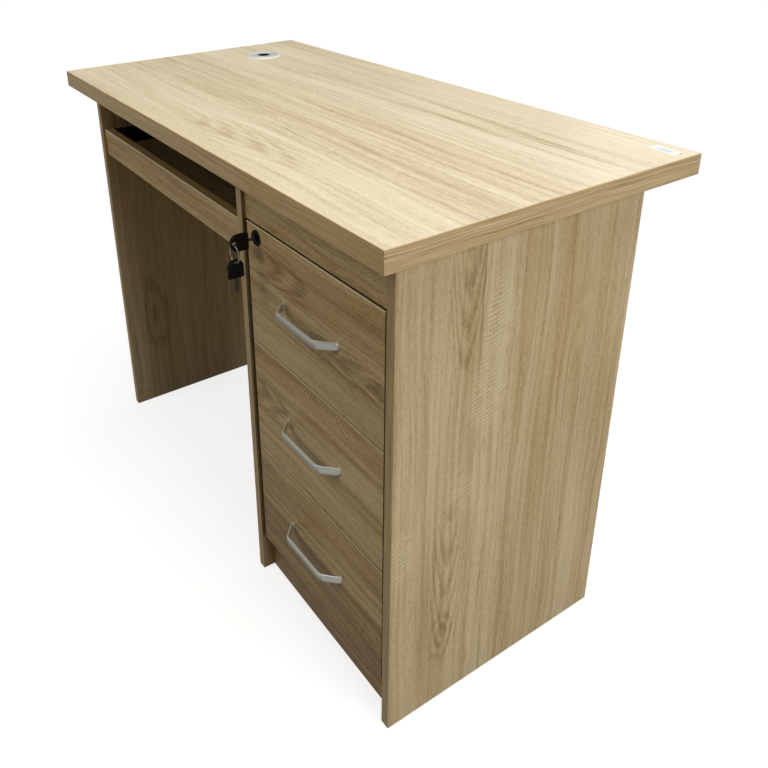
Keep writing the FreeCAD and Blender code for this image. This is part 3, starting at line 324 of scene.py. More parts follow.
def edge_band(name, light, middle, dark, long_axis, cross_axis, turned_at=None, pin_hole=None):
    """Plastic edge band printed with close lengthwise grain, with at most one dark pin hole.

    Past turned_at on the long axis the band runs round the corner, along y.
    """
    finish = Finish(name)
    u, v = finish.axes[long_axis], finish.axes[cross_axis]
    if turned_at:
        at_end = finish.math("GREATER_THAN", finish.math("ABSOLUTE", u), turned_at)
        between = finish.math("SUBTRACT", 1.0, at_end)
        u = finish.add(finish.times(at_end, finish.axes[Y]), finish.times(between, u))
    bend = finish.times(finish.noise(finish.joined(finish.times(u, 6.0), 0.0, 0.0), 1, 1), 0.012)
    wide = finish.add(v, bend)
    bands = finish.noise(finish.joined(finish.times(u, 4.0), finish.times(wide, 420.0), 0.0), 1, 2, 0.55)
    fine = finish.noise(finish.joined(finish.times(u, 14.0), finish.times(wide, 900.0), 0.0), 1, 2, 0.6)
    tone = finish.add(finish.times(bands, 1.1), finish.times(fine, 0.9))
    tone = finish.math("SUBTRACT", tone, 0.50)
    colour = finish.ramp(tone, [(0.22, dark), (0.5, middle), (0.78, light)])
    if pin_hole:
        gap = finish.nodes.new("ShaderNodeVectorMath")
        gap.operation = "DISTANCE"
        finish.put(gap.inputs[0], finish.place)
        finish.put(gap.inputs[1], pin_hole)
        hole = finish.spread(gap.outputs["Value"], *PIN_HOLE_EDGE, 1.0, 0.0)
        colour = finish.mixed(hole, colour, paint(40, 30, 20))
    # band faces that look along y are tinted darker: painted shade
    colour = finish.mixed(finish.times(finish.facing(Y), 0.45), colour, Y_FACE_SHADE, "MULTIPLY")
    # painted shade where the panel bands meet the slits round the drawer fronts
    colour = finish.mixed(finish.times(in_shaded_slits(finish, *PANEL_SLIT), 0.5), colour, SLIT_SHADE)
    handled = finish.spread(finish.noise(finish.place, 9, 3, 0.6), 0.3, 0.8, 0.0, 0.10)
    finish.set(Base_Color=colour, Roughness=finish.add(0.36, handled), Specular_IOR_Level=0.5)
    finish.relief(finish.add(bands, fine), 0.00005, 0.6)
    return finish.material


def rolled_steel(name, bright, dull, rough, along=Y, metal=1.0, underside_shade=None):
    """Steel with rolling lines along it and small rubbed patches, and with painted shade on its underside if
    asked.
    """
    finish = Finish(name)
    scales = [700.0, 700.0, 700.0]
    scales[along] = 12.0
    stretched = finish.joined(*[finish.times(axis, scale) for axis, scale in zip(finish.axes, scales)])
    lines = finish.noise(stretched, 1, 3, 0.6)
    patches = finish.noise(finish.place, 60, 3, 0.6)
    grime = finish.spread(finish.noise(finish.place, 17, 4, 0.65), 0.42, 0.75)
    colour = finish.mixed(finish.add(finish.times(lines, 0.5), finish.times(patches, 0.4)), bright, dull)
    colour = finish.mixed(finish.times(grime, 0.35), colour, dull)
    if underside_shade is not None:
        # painted shade, strongest on faces that look down and weaker on faces that look along x
        node = finish.nodes.new("ShaderNodeNewGeometry")
        lower = finish.spread(finish.parts(node.outputs["Normal"])[Z], -0.3, 0.75, 0.75, 0.0)
        lengthwise = finish.spread(finish.facing(X), 0.45, 0.75, 1.0, 0.25)
        colour = finish.mixed(finish.times(lower, lengthwise), colour, underside_shade)
    rough = finish.add(rough, finish.times(finish.add(lines, patches), 0.12))
    finish.set(Base_Color=colour, Roughness=rough)
    finish.shader.inputs["Metallic"].default_value = metal
    finish.relief(lines, 0.00002, 0.5)
    return finish.material


def moulded_plastic(name, base, worn, rough, grain=1600.0, shaded_below=None, gloss=0.5):
    """Moulded plastic: fine texture, flow clouds and a little wear, and painted shade below a height if
    asked.
    """
    finish = Finish(name)
    texture = finish.noise(finish.place, grain, 2, 0.6)
    flow = finish.noise(finish.place, 55, 3, 0.55, 0.6)
    wear = finish.spread(finish.noise(finish.place, 260, 3, 0.7), 0.60, 0.78)
    colour = finish.mixed(finish.times(flow, 0.5), base, worn)
    colour = finish.mixed(finish.times(wear, 0.5), colour, worn)
    if shaded_below is not None:
        # near black below this height: painted shade in the grommet's hole
        inside = finish.spread(finish.axes[Z], shaded_below - FADE, shaded_below, 1.0, 0.0)
        colour = finish.mixed(inside, colour, paint(14, 14, 13))
    rough = finish.add(rough, finish.times(texture, 0.16))
    finish.set(Base_Color=colour, Roughness=rough, Specular_IOR_Level=gloss)
    finish.relief(texture, 0.00003, 0.6)
    return finish.material


# Four shades of each oak: light, middle, dark and the warm tint
OAK = (paint(236, 220, 186), paint(211, 191, 150), paint(160, 135, 92), paint(246, 230, 210))
TOP_OAK = (paint(240, 229, 206), paint(219, 206, 178), paint(170, 149, 113), paint(238, 222, 202))
# the fronts' oak is darker and warmer than the panels' oak; the darkness is painted shade
SHADED_FRONT_OAK = (paint(222, 202, 162), paint(194, 170, 124), paint(136, 108, 65), paint(238, 210, 174))
SHADE_OAK = (paint(228, 208, 170), paint(200, 177, 135), paint(150, 122, 82), paint(242, 224, 198))
# much darker oak for the tray board and pedestal base: painted shade of the dim tray bay
SHADED_SHELF_OAK = (paint(134, 118, 84), paint(108, 93, 64), paint(74, 61, 40), paint(226, 200, 160))
# pale colour of the painted highlights on upward edges and under the fronts' top edges
RIM_HIGHLIGHT = paint(246, 236, 208)
BAND_LIGHT = paint(222, 200, 158)
BAND_MID = paint(202, 176, 131)
BAND_DARK = paint(168, 136, 92)
# painted shade for the slits round the drawer fronts and under the rail
SLIT_SHADE = paint(62, 47, 28)
# tint for the painted shade on band faces that look along y
Y_FACE_SHADE = paint(222, 210, 178)
# dark colour for the fronts' edges: painted shade of the slits beside them
FRONT_EDGE_SHADE = paint(112, 90, 56)
TOP_FRONT_CORNER = 0.499
TOP_PIN_HOLE = (0.5, -0.2477, 0.7407)
# heights below which the grommet's liner and cap get painted shade
LINER_SHADED_BELOW = 0.7497
CAP_SHADED_BELOW = 0.7505

top_oak = oak_laminate(
    "top_oak", X, Y, Z, TOP_OAK,
    [1.00, (1.140, (0.53, 0.15, 0.5)), (1.230, (0.44, 0.2, 0.6)), (1.300, (0.46, 0.25, 0.3)),
     (1.420, (0.54, 0.1, 0.6)), (1.540, (0.52, 0.1, 0.3))],
    arches=[((0.09, 1.085, 0.18, 0.050), 14.0), ((0.10, 1.40, 0.45, 0.035), 6.0)],
    saw=0.22, sheen=0.36, contrast=0.70, bold=0.12
)
side_oak = oak_laminate(
    "side_oak", Z, Y, X, OAK,
    [0.55, (0.716, (0.49, 0.4, 0.4)), (0.778, (0.55, 0.3, 1.0)),
     (0.905, (0.48, 0.6, 0.0)), (1.05, (0.53, 0.5, 0.5))],
    arches=[((0.64, 0.690, 0.13, 0.032), -15.0), ((0.21, 0.680, 0.17, 0.035), -17.0)],
    eyes=[((0.12, 0.675, 0.050, 0.025), 13.0), ((0.21, -0.915, 0.13, 0.045), 11.0)],
    combs=[(0.60, 0.745, 0.07, 0.030), (0.49, 0.735, 0.07, 0.040),
           (0.36, 0.700, 0.03, 0.03), (0.30, 0.60, 0.05, 0.03)],
    saw=0.85, contrast=0.82, bold=0.17, edge=BAND_MID, slit=PANEL_SLIT, bare_ends=True
)
rear_oak = oak_laminate(
    "rear_oak", Z, X, Y, SHADE_OAK,
    [-1.0, (0.0, (0.5, 0.2, 0.3)), (0.12, (0.45, 0.5, 0.0)), (1.0, (0.55, 0.1, 0.6))],
    saw=0.4, edge=BAND_MID, bare_ends=True
)
shaded_shelf_oak = oak_laminate(
    "shaded_shelf_oak", X, Y, Z, SHADED_SHELF_OAK,
    [0.5, (1.0, (0.5, 0.2, 0.3)), (1.12, (0.45, 0.5, 0.0)), (2.0, (0.55, 0.1, 0.6))],
    saw=0.3, edge=BAND_MID, bare_ends=True
)
front_oak = oak_laminate(
    "front_oak", X, Z, Y, SHADED_FRONT_OAK,
    # the two lowest staves, across the bottom drawer, are toned darker: painted shade low on the fronts
    [-0.5, (-0.28, (0.20, 0.3, 0.3)), (-0.19, (0.22, 0.1, 0.5)), (-0.08, (0.40, 0.35, 0.2)),
     (0.04, (0.50, 0.2, 0.5)), (0.10, (0.46, 0.5, 0.1)), (0.22, (0.53, 0.15, 0.5)),
     (0.29, (0.47, 0.45, 0.1)), (0.40, (0.46, 0.2, 0.4))],
    arches=[((0.215, 0.245, 0.10, 0.035), 11.0), ((0.165, 0.022, 0.09, 0.040), 11.0),
            ((0.36, 0.185, 0.12, 0.03), -12.0)],
    combs=[(0.31, 0.083, 0.10, 0.022), (0.40, 0.02, 0.05, 0.02)],
    saw=0.5, bold=0.22, edge=FRONT_EDGE_SHADE, slit=FRONT_SLIT,
    lip_highlights=[(0.645, 0.128, 0.4475), (0.639, -0.452, 0.107)]
)
dowel_finish = oak_laminate(
    "dowel_finish", X, Y, Z,
    (paint(226, 202, 164), paint(208, 178, 136), paint(170, 132, 92), paint(240, 220, 190)),
    [-5.0, (5.0, (0.5, 0.2, 0.0))], saw=0.0
)
top_band = edge_band(
    "top_band", BAND_LIGHT, BAND_MID, BAND_DARK, X, Z, turned_at=TOP_FRONT_CORNER, pin_hole=TOP_PIN_HOLE
)
panel_band = edge_band("panel_band", paint(208, 187, 146), paint(188, 163, 120), paint(154, 125, 84), Z, X)
slide_steel = rolled_steel("slide_steel", paint(214, 214, 210), paint(160, 160, 156), 0.26)
dark_steel = rolled_steel("dark_steel", paint(34, 34, 36), paint(16, 16, 17), 0.42, metal=0.4)
bow_steel = rolled_steel(
    "bow_steel", paint(246, 248, 246), paint(226, 228, 226), 0.32,
    along=X, metal=0.75, underside_shade=paint(112, 114, 106)
)
cast_metal = rolled_steel("cast_metal", paint(176, 178, 180), paint(120, 122, 124), 0.45)
key_metal = rolled_steel("key_metal", paint(222, 220, 212), paint(172, 170, 162), 0.22)
# darker copy of the key metal for the key blades: painted shade
shaded_blade_metal = rolled_steel("shaded_blade_metal", paint(118, 116, 110), paint(80, 78, 74), 0.34)
lock_finish = moulded_plastic("lock_finish", paint(2, 2, 3), paint(6, 6, 7), 0.50, gloss=0.10)
bow_plastic = moulded_plastic("bow_plastic", paint(3, 3, 4), paint(9, 9, 10), 0.38, gloss=0.25)
liner_finish = moulded_plastic(
    "liner_finish", paint(226, 229, 228), paint(198, 202, 201), 0.20, shaded_below=LINER_SHADED_BELOW
)
cap_finish = moulded_plastic(
    "cap_finish", paint(202, 206, 205), paint(168, 172, 171), 0.28, shaded_below=CAP_SHADED_BELOW
)
box_finish = moulded_plastic("box_finish", paint(214, 206, 190), paint(196, 187, 168), 0.50, grain=500.0)
sheet_finish = moulded_plastic("sheet_finish", paint(176, 146, 104), paint(150, 118, 78), 0.55, grain=700.0)


LABEL_FIELD = (0.4655, 0.2237, 0.0150, 0.0052)


def label_paper():
    """Blank paper label: white, with a faint cool field inside its margins."""
    finish = Finish("label_paper")
    fibres = finish.noise(finish.place, 2600, 3, 0.6)
    field, _, _ = finish.within(finish.axes[X], finish.axes[Y], LABEL_FIELD)
    colour = finish.mixed(finish.times(fibres, 0.4), paint(232, 234, 234), paint(220, 223, 224))
    colour = finish.mixed(finish.times(field, 0.9), colour, paint(188, 200, 218))
    finish.set(Base_Color=colour, Roughness=finish.add(0.5, finish.times(fibres, 0.2)))
    finish.relief(fibres, 0.00002, 0.5)
    return finish.material


paper = label_paper()

# Which finish each CAD piece gets
NODE_FINISHES = {
    "desk_top": top_oak, "top_edge_bands": top_band, "panel_edge_bands": panel_band,
    "left_panel": side_oak, "middle_panel": side_oak, "right_panel": side_oak,
    "modesty_panel": rear_oak, "pedestal_back": rear_oak,
    "pedestal_base": shaded_shelf_oak, "tray_board": shaded_shelf_oak,
    "top_rail": front_oak, "plinth": front_oak, "tray_front": front_oak,
    "cam_fittings": cast_metal, "cam_bolts": slide_steel, "wood_dowels": dowel_finish,
    "grommet_liner": liner_finish, "grommet_cap": cap_finish,
    "drawer_slide_outers": slide_steel, "tray_slide_outers": dark_steel, "tray_slide_middles": dark_steel,
    "tray_slide_inners": dark_steel, "tray_brackets": dark_steel, "tray_screws": slide_steel,
    "lock_housing": lock_finish, "lock_nut": cast_metal, "lock_plug": lock_finish, "lock_cam": slide_steel,
    "key_blade": shaded_blade_metal, "spare_key_blade": shaded_blade_metal, "key_ring": key_metal,
    "key_bow": bow_plastic, "spare_key_bow": bow_plastic,
}
DRAWER_FINISHES = {
    "front": front_oak, "left_side": box_finish, "right_side": box_finish, "back": box_finish,
    "bottom": sheet_finish, "handle": bow_steel, "handle_screws": slide_steel,
    "slide_middles": slide_steel, "slide_inners": slide_steel,
}
for number in (1, 2, 3):
    for part, finish in DRAWER_FINISHES.items():
        NODE_FINISHES[f"drawer_{number}_{part}"] = finish
for name, material in NODE_FINISHES.items():
    mesh = nodes[name].data
    if not mesh.materials:
        mesh.materials.append(material)
    for index in range(len(mesh.materials)):
        mesh.materials[index] = material


# Small pieces

def settled(name, material):
    """The primitive just added, named, with its place and size fixed in its mesh."""
    piece = bpy.context.object
    piece.name = piece.data.name = name
    bpy.ops.object.transform_apply(location=True, rotation=True, scale=True)
    piece.data.materials.append(material)
    return piece


def pick(piece, kind, test):
    """Selects corners or faces by a test of place and normal, or edges by place and run, in edit mode."""
    bpy.ops.object.mode_set(mode="EDIT")
    bpy.ops.mesh.select_mode(type=kind)
    bpy.ops.mesh.select_all(action="DESELECT")
    bpy.ops.object.mode_set(mode="OBJECT")
    if kind == "FACE":
        for face in piece.data.polygons:
            face.select = test(face.center, face.normal)
    elif kind == "EDGE":
        for edge in piece.data.edges:
            start, end = (piece.data.vertices[index].co for index in edge.vertices)
            edge.select = test((start + end) / 2, (end - start).normalized())
    else:
        for corner in piece.data.vertices:
            corner.select = test(corner.co, corner.normal)
    bpy.ops.object.mode_set(mode="EDIT")


def alone(*pieces):
    """Leaves edit mode with only these pieces selected, the first one active."""
    if bpy.context.object and bpy.context.object.mode != "OBJECT":
        bpy.ops.object.mode_set(mode="OBJECT")
    bpy.ops.object.select_all(action="DESELECT")
    for piece in pieces:
        piece.select_set(True)
    bpy.context.view_layer.objects.active = pieces[0]


def copied(piece, name, place, turn=(0, 0, 0)):
    """Copy with its own mesh, turned about the origin and moved to its place."""
    alone(piece)
    bpy.ops.object.duplicate(linked=False)
    twin = bpy.context.object
    twin.name = twin.data.name = name
    twin.location, twin.rotation_euler = place, turn
    bpy.ops.object.transform_apply(location=True, rotation=True, scale=True)
    return twin


def joined(name, pieces, body):
    """One piece out of several, riding one body."""
    alone(*pieces)
    if len(pieces) > 1:
        bpy.ops.object.join()
    whole = bpy.context.object
    whole.name = whole.data.name = name
    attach(whole, body)
    return whole


def slab(name, centre, sizes, material, turn=0.0):
    """A block at its place and size, to be shaped further. It can be turned about an upright axis."""
    bpy.ops.mesh.primitive_cube_add(size=1, location=centre, rotation=(0, 0, turn))
    bpy.context.object.scale = sizes
    return settled(name, material)


def smoothed(piece, degrees):
    """Shades a piece smooth, but for the edges that are sharper than this."""
    alone(piece)
    bpy.ops.object.shade_smooth_by_angle(angle=radians(degrees))


def upwards(place, normal):
    return normal.z > 0.9


# Paper sticker without print, one corner lifting
STICKER_MIDDLE = (0.4651, 0.2239, 0.75005)
STICKER_SIZE = (0.0413, 0.0172, 1)
STICKER_TURN = radians(-3.4)
STICKER_CORNER = Vector((0.4860, 0.2310, 0.75005))
CORNER_PINCH = 0.003
CORNER_LIFT = 0.0006
CORNER_REACH = 0.011
PAPER_THICK = 0.00012
bpy.ops.mesh.primitive_plane_add(size=1, location=STICKER_MIDDLE, rotation=(0, 0, STICKER_TURN))
bpy.context.object.scale = STICKER_SIZE
sticker = settled("blank_sticker", paper)
pick(sticker, "FACE", lambda place, normal: True)
bpy.ops.mesh.subdivide(number_cuts=9)
pick(sticker, "VERT", lambda place, normal: (place - STICKER_CORNER).length < CORNER_PINCH)
bpy.ops.transform.translate(
    value=(0, 0, CORNER_LIFT), use_proportional_edit=True, proportional_edit_falloff="SMOOTH",
    proportional_size=CORNER_REACH
)
alone(sticker)
sheet = sticker.modifiers.new("sheet", "SOLIDIFY")
sheet.thickness = PAPER_THICK
sheet.offset = 1
bpy.ops.object.modifier_apply(modifier="sheet")
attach(sticker, "carcass")

# Split key ring: two turns of wire side by side, each cut at its own place
RING_CENTRE = Vector((0.1555, -0.2415, 0.6130))
RING_REACH = 0.0136
RING_WIRE = 0.00039
RING_HALF_PITCH = 0.0004
RING_CUT = 0.16
TOUCHING = 0.000001
turns = []
for way, start in ((-1, 0.4), (1, 1.1)):
    level = RING_CENTRE + Vector((0, way * RING_HALF_PITCH, 0))
    arm = Vector((cos(start), 0, sin(start))) * RING_REACH
    bpy.ops.mesh.primitive_circle_add(
        vertices=12, radius=RING_WIRE, fill_type="NGON", location=level + arm, rotation=(0, -start, 0)
    )
    wire = settled("ring_turn", key_metal)
    pick(wire, "FACE", lambda place, normal: True)
    bpy.ops.mesh.spin(steps=72, angle=2 * pi - RING_CUT, center=level, axis=(0, 1, 0))
    bpy.ops.mesh.select_all(action="SELECT")
    bpy.ops.mesh.remove_doubles(threshold=TOUCHING)
    bpy.ops.mesh.fill_holes(sides=0)
    bpy.ops.mesh.normals_make_consistent(inside=False)
    smoothed(wire, 50)
    turns.append(wire)
ring = joined("split_ring", turns, "key_ring")
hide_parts("key_ring")

# Screw heads, with shares of their height or radius
DOME_SHARE = 0.6
CHAMFER_SHARE = 0.3
RECESS_INSET_SHARE = 0.28
ARM_WAIST_SHARE = 0.36
RECESS_DEPTH_SHARE = 0.8
RECESS_TAPER_SHARE = 0.6


def cross_screw(name, radius, height, domed):
    """Screw head on the plane z = 0, looking up, with a cross recess."""
    middle = (0, 0, height / 2)
    bpy.ops.mesh.primitive_cylinder_add(vertices=24, radius=radius, depth=height, location=middle)
    screw = settled(name, slide_steel)
    pick(screw, "FACE", upwards)
    if domed:
        bpy.ops.mesh.bevel(offset=height * DOME_SHARE, segments=3, affect="EDGES")
    else:
        bpy.ops.mesh.bevel(offset=height * CHAMFER_SHARE, segments=1, affect="EDGES")
    pick(screw, "FACE", lambda place, normal: normal.z > 0.99 and place.xy.length < radius / 4)
    bpy.ops.mesh.inset(thickness=radius * RECESS_INSET_SHARE)
    bpy.ops.object.mode_set(mode="OBJECT")
    recess = max((face for face in screw.data.polygons if face.select), key=lambda face: face.area)
    reach = max(screw.data.vertices[index].co.xy.length for index in recess.vertices)

    def between_arms(place, normal):
        """Corners of the recess that are drawn in, so that the rest become the arms of a cross."""
        in_recess = place.z > height * 0.98 and place.xy.length < reach * 1.02
        return in_recess and abs(place.x * place.y) > 0.24 * reach * reach

    pick(screw, "VERT", between_arms)
    bpy.ops.transform.resize(value=(ARM_WAIST_SHARE, ARM_WAIST_SHARE, 1), center_override=(0, 0, height))
    pick(screw, "FACE", lambda place, normal: normal.z > 0.99 and place.xy.length < radius / 20)
    deep = height * RECESS_DEPTH_SHARE
    bpy.ops.mesh.extrude_region_move(TRANSFORM_OT_translate={"value": (0, 0, -deep)})
    bpy.ops.transform.resize(
        value=(RECESS_TAPER_SHARE, RECESS_TAPER_SHARE, 1), center_override=(0, 0, height - deep)
    )
    smoothed(screw, 35)
    return screw


FACE_RIGHT = (0, pi / 2, 0)
FACE_LEFT = (0, -pi / 2, 0)
INWARDS = (FACE_RIGHT, FACE_LEFT)
OUTWARDS = (FACE_LEFT, FACE_RIGHT)


def screw_pair(screw, places_x, y, z, turns):
    """Two copies of a screw, one at each side, each turned its own way."""
    return [copied(screw, "head", (x, y, z), turn) for x, turn in zip(places_x, turns)]


# Fixed members are screwed to the panels, and moving members to the drawer boxes and tray brackets
flat_screw = cross_screw("flat_screw", 0.0032, 0.0010, False)
pan_screw = cross_screw("pan_screw", 0.0036, 0.0018, True)
DRAWER_PITCH = 0.191
DRAWER_BOTTOMS = {number: 0.456 - (number - 1) * DRAWER_PITCH for number in (1, 2, 3)}
SLIDE_RISE = 0.060
TRAY_SLIDE_LEVEL = 0.614
WEB_SCREWS_X = {"pedestal": (0.1234, 0.4526), "bay": (-0.4526, 0.1076)}
WEB_SCREWS_FRONT = -0.1845
WEB_SCREWS_REAR = {"pedestal": 0.140, "bay": 0.095}
BOX_SCREWS_X = (0.1345, 0.4415)
BOX_SCREWS_Y = (-0.170, -0.010, 0.120)
BACK_SCREWS_X = (0.1364, 0.4396)
BACK_SCREWS_Y = 0.155
BACK_SCREWS_RISE = (0.027, 0.124)
TRAY_SCREWS_X = (-0.4415, 0.0965)
TRAY_SCREWS_Y = (-0.165, -0.045, 0.060)

levels = [("pedestal", bottom + SLIDE_RISE) for bottom in DRAWER_BOTTOMS.values()]
levels.append(("bay", TRAY_SLIDE_LEVEL))
heads = []
for space, level in levels:
    for y in (WEB_SCREWS_FRONT, WEB_SCREWS_REAR[space]):
        heads += screw_pair(flat_screw, WEB_SCREWS_X[space], y, level, INWARDS)
joined("slide_web_screws", heads, "carcass")
for number, bottom in DRAWER_BOTTOMS.items():
    heads = []
    for y in BOX_SCREWS_Y:
        heads += screw_pair(pan_screw, BOX_SCREWS_X, y, bottom + SLIDE_RISE, OUTWARDS)
    for rise in BACK_SCREWS_RISE:
        heads += screw_pair(flat_screw, BACK_SCREWS_X, BACK_SCREWS_Y, bottom + rise, OUTWARDS)
    joined(f"drawer_{number}_box_screws", heads, f"drawer_{number}")
heads = []
for y in TRAY_SCREWS_Y:
    heads += screw_pair(pan_screw, TRAY_SCREWS_X, y, TRAY_SLIDE_LEVEL, OUTWARDS)
joined("tray_slide_screws", heads, "tray")
for spent in (flat_screw, pan_screw):
    bpy.data.objects.remove(spent)

# Grips on the key bows: a sunk panel in a raised rim, with ribs
GRIP_SIZE = (0.0110, 0.0170, 0.0006)
GRIP_CORNER = 0.0025
GRIP_RIM = 0.0009
GRIP_SUNK = 0.00025
GRIP_RIB_SIZE = (0.0070, 0.0009, 0.0003)
GRIP_RIBS_Y = (-0.0048, -0.0024, 0.0, 0.0024, 0.0048)
KEY_X = 0.1555
KEY_Z = 0.6275
BOW_HALF_THICK = 0.0025
grip = slab("grip", (0, 0, 0.00010), GRIP_SIZE, bow_plastic)
pick(grip, "EDGE", lambda place, run: abs(run.z) > 0.9)
bpy.ops.mesh.bevel(offset=GRIP_CORNER, segments=4, affect="EDGES")
pick(grip, "FACE", upwards)
bpy.ops.mesh.inset(thickness=GRIP_RIM)
bpy.ops.mesh.extrude_region_move(TRANSFORM_OT_translate={"value": (0, 0, -GRIP_SUNK)})
alone(grip)
ribs = [grip]
for y in GRIP_RIBS_Y:
    rib = slab("rib", (0, y, 0.00025), GRIP_RIB_SIZE, bow_plastic)
    pick(rib, "FACE", upwards)
    bpy.ops.mesh.bevel(offset=0.0001, segments=1, affect="EDGES")
    alone(rib)
    ribs.append(rib)
alone(*ribs)
bpy.ops.object.join()
for name, body, y, z, grip_turns in (
    ("key_bow_grips", "lock_core", -0.2290, KEY_Z, ((0, pi / 2, 0), (0, -pi / 2, 0))),
    ("spare_bow_grips", "spare_key", -0.2415, 0.5880, ((pi / 2, 0, pi / 2), (pi / 2, 0, -pi / 2))),
):
    sides = [
        copied(grip, "grip_side", (KEY_X + side * BOW_HALF_THICK, y, z), turn)
        for side, turn in zip((1, -1), grip_turns)
    ]
    joined(name, sides, body)
bpy.data.objects.remove(grip)

# Key in the lock: a narrow neck between bow and plug, and the wider blade inside
NECK_SIZE = Vector((0.0018, 0.0098, 0.0040))
NECK_MIDDLE = Vector((KEY_X, -0.2154, KEY_Z))
NECK_END = NECK_MIDDLE + Vector((0, NECK_SIZE.y / 2, 0))
BLADE_HIGH = 0.0075
BLADE_LONG = 0.0120
BLADE_ROUND = 0.0003
blade = slab("key_blade_with_neck", NECK_MIDDLE, NECK_SIZE, shaded_blade_metal)
pick(blade, "FACE", lambda place, normal: normal.y > 0.9)
bpy.ops.mesh.extrude_region_move(TRANSFORM_OT_translate={"value": (0, 0, 0)})
bpy.ops.transform.resize(value=(1, 1, BLADE_HIGH / NECK_SIZE.z), center_override=NECK_END)
bpy.ops.mesh.extrude_region_move(TRANSFORM_OT_translate={"value": (0, BLADE_LONG, 0)})
pick(blade, "EDGE", lambda place, run: abs(run.y) > 0.9)
bpy.ops.mesh.bevel(offset=BLADE_ROUND, segments=2, affect="EDGES")
smoothed(blade, 40)
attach(blade, "lock_core")
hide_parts("key_blade")

# Bow handle: an oval bar, flatter behind, swept from its right foot over legs and bends to its left foot
HANDLE_MIDDLE = Vector((0.288, -0.2065, 0.554))
BAR_HALF_WIDE = 0.006
BAR_OUTER_BULGE = 0.0052
BAR_INNER_BULGE = 0.0028
BAR_FULLNESS = 1.07
FOOT_MIDDLE = 0.0628
FOOT_INNER = 0.060
FOOT_RISE = 0.00434
FOOT_TILT = radians(16.3)
LEG_THIN_SHARE = 0.5
LEG_SHIFT = 0.001
LEG_RUN = 0.01215
LEG_TURN = radians(45)
BEND_X = 0.03837
BEND_Y = -0.009
BEND_STEPS = 8


def swept_on(shift=(0, 0, 0), turn=0.0, pivot=None):
    """Extrudes the bar's end face by a shift, then turns it about an upright axis."""
    bpy.ops.mesh.extrude_region_move(TRANSFORM_OT_translate={"value": shift})
    if turn:
        bpy.ops.transform.rotate(value=turn, orient_axis="Z", center_override=pivot)


waist = HANDLE_MIDDLE + Vector((FOOT_MIDDLE, 0, 0))
bpy.ops.mesh.primitive_circle_add(
    vertices=24, radius=BAR_HALF_WIDE, fill_type="NGON", location=waist, rotation=(pi / 2, 0, 0)
)
handle = settled("drawer_1_bow_handle", bow_steel)
for side, bulge in ((1, BAR_OUTER_BULGE), (-1, BAR_INNER_BULGE)):
    pick(handle, "VERT", lambda place, normal: side * (place.x - waist.x) > 0.0001)
    bpy.ops.transform.resize(value=(bulge / BAR_HALF_WIDE, 1, 1), center_override=waist)
pick(handle, "VERT", lambda place, normal: 0.001 < abs(place.z - waist.z) < 0.0057)
bpy.ops.transform.resize(value=(1, 1, BAR_FULLNESS), center_override=waist)
pick(handle, "FACE", lambda place, normal: True)
foot = HANDLE_MIDDLE + Vector((FOOT_INNER, -FOOT_RISE, 0))
swept_on((0, -FOOT_RISE, 0), -FOOT_TILT, foot)
swept_on((0, 0, 0), FOOT_TILT, foot)
bpy.ops.transform.resize(value=(LEG_THIN_SHARE, 1, 1), center_override=foot)
bpy.ops.transform.rotate(value=LEG_TURN, orient_axis="Z", center_override=foot)
bpy.ops.transform.translate(value=(-LEG_SHIFT, -LEG_SHIFT, 0))
swept_on((-LEG_RUN, -LEG_RUN, 0))
for side in (1, -1):
    bend = HANDLE_MIDDLE + Vector((side * BEND_X, BEND_Y, 0))
    for _ in range(BEND_STEPS):
        swept_on((0, 0, 0), LEG_TURN / BEND_STEPS, bend)
    if side > 0:
        swept_on((-2 * BEND_X, 0, 0))
swept_on((-LEG_RUN, LEG_RUN, 0))
foot = HANDLE_MIDDLE + Vector((-FOOT_INNER, -FOOT_RISE, 0))
swept_on((-LEG_SHIFT, LEG_SHIFT, 0), LEG_TURN, foot)
bpy.ops.transform.resize(value=(1 / LEG_THIN_SHARE, 1, 1), center_override=foot)
bpy.ops.transform.rotate(value=FOOT_TILT, orient_axis="Z", center_override=foot)
swept_on((0, 0, 0), -FOOT_TILT, foot)
bpy.ops.transform.translate(value=(0, FOOT_RISE, 0))
bpy.ops.mesh.select_all(action="SELECT")
bpy.ops.mesh.normals_make_consistent(inside=False)
smoothed(handle, 40)
handles = [handle]
for number in (2, 3):
    handles.append(copied(handle, f"drawer_{number}_bow_handle", (0, 0, (1 - number) * DRAWER_PITCH)))
for number, bow in enumerate(handles, start=1):
    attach(bow, f"drawer_{number}")
    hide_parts(f"drawer_{number}_handle")

# Finger ribs on the grommet's cap, across from its slot
CAP_MIDDLE = Vector((-0.387, 0.117))
CAP_RIBS_Z = 0.7509
CAP_TURN = radians(57)
CAP_RIBS_REACH = (0.0150, 0.0172, 0.0194)
CAP_RIB_SIZE = (0.0150, 0.0010, 0.0008)
CAP_RIB_ROUND = 0.0003
ribs = []
for reach in CAP_RIBS_REACH:
    place = CAP_MIDDLE + Vector((sin(CAP_TURN), -cos(CAP_TURN))) * reach
    rib = slab("rib", (*place, CAP_RIBS_Z), CAP_RIB_SIZE, cap_finish, CAP_TURN)
    pick(rib, "FACE", upwards)
    bpy.ops.mesh.bevel(offset=CAP_RIB_ROUND, segments=2, affect="EDGES")
    alone(rib)
    ribs.append(rib)
joined("grommet_cap_ribs", ribs, "grommet_cap")


# Room, light and camera

FLOOR_FADE = (0.7, 1.5)


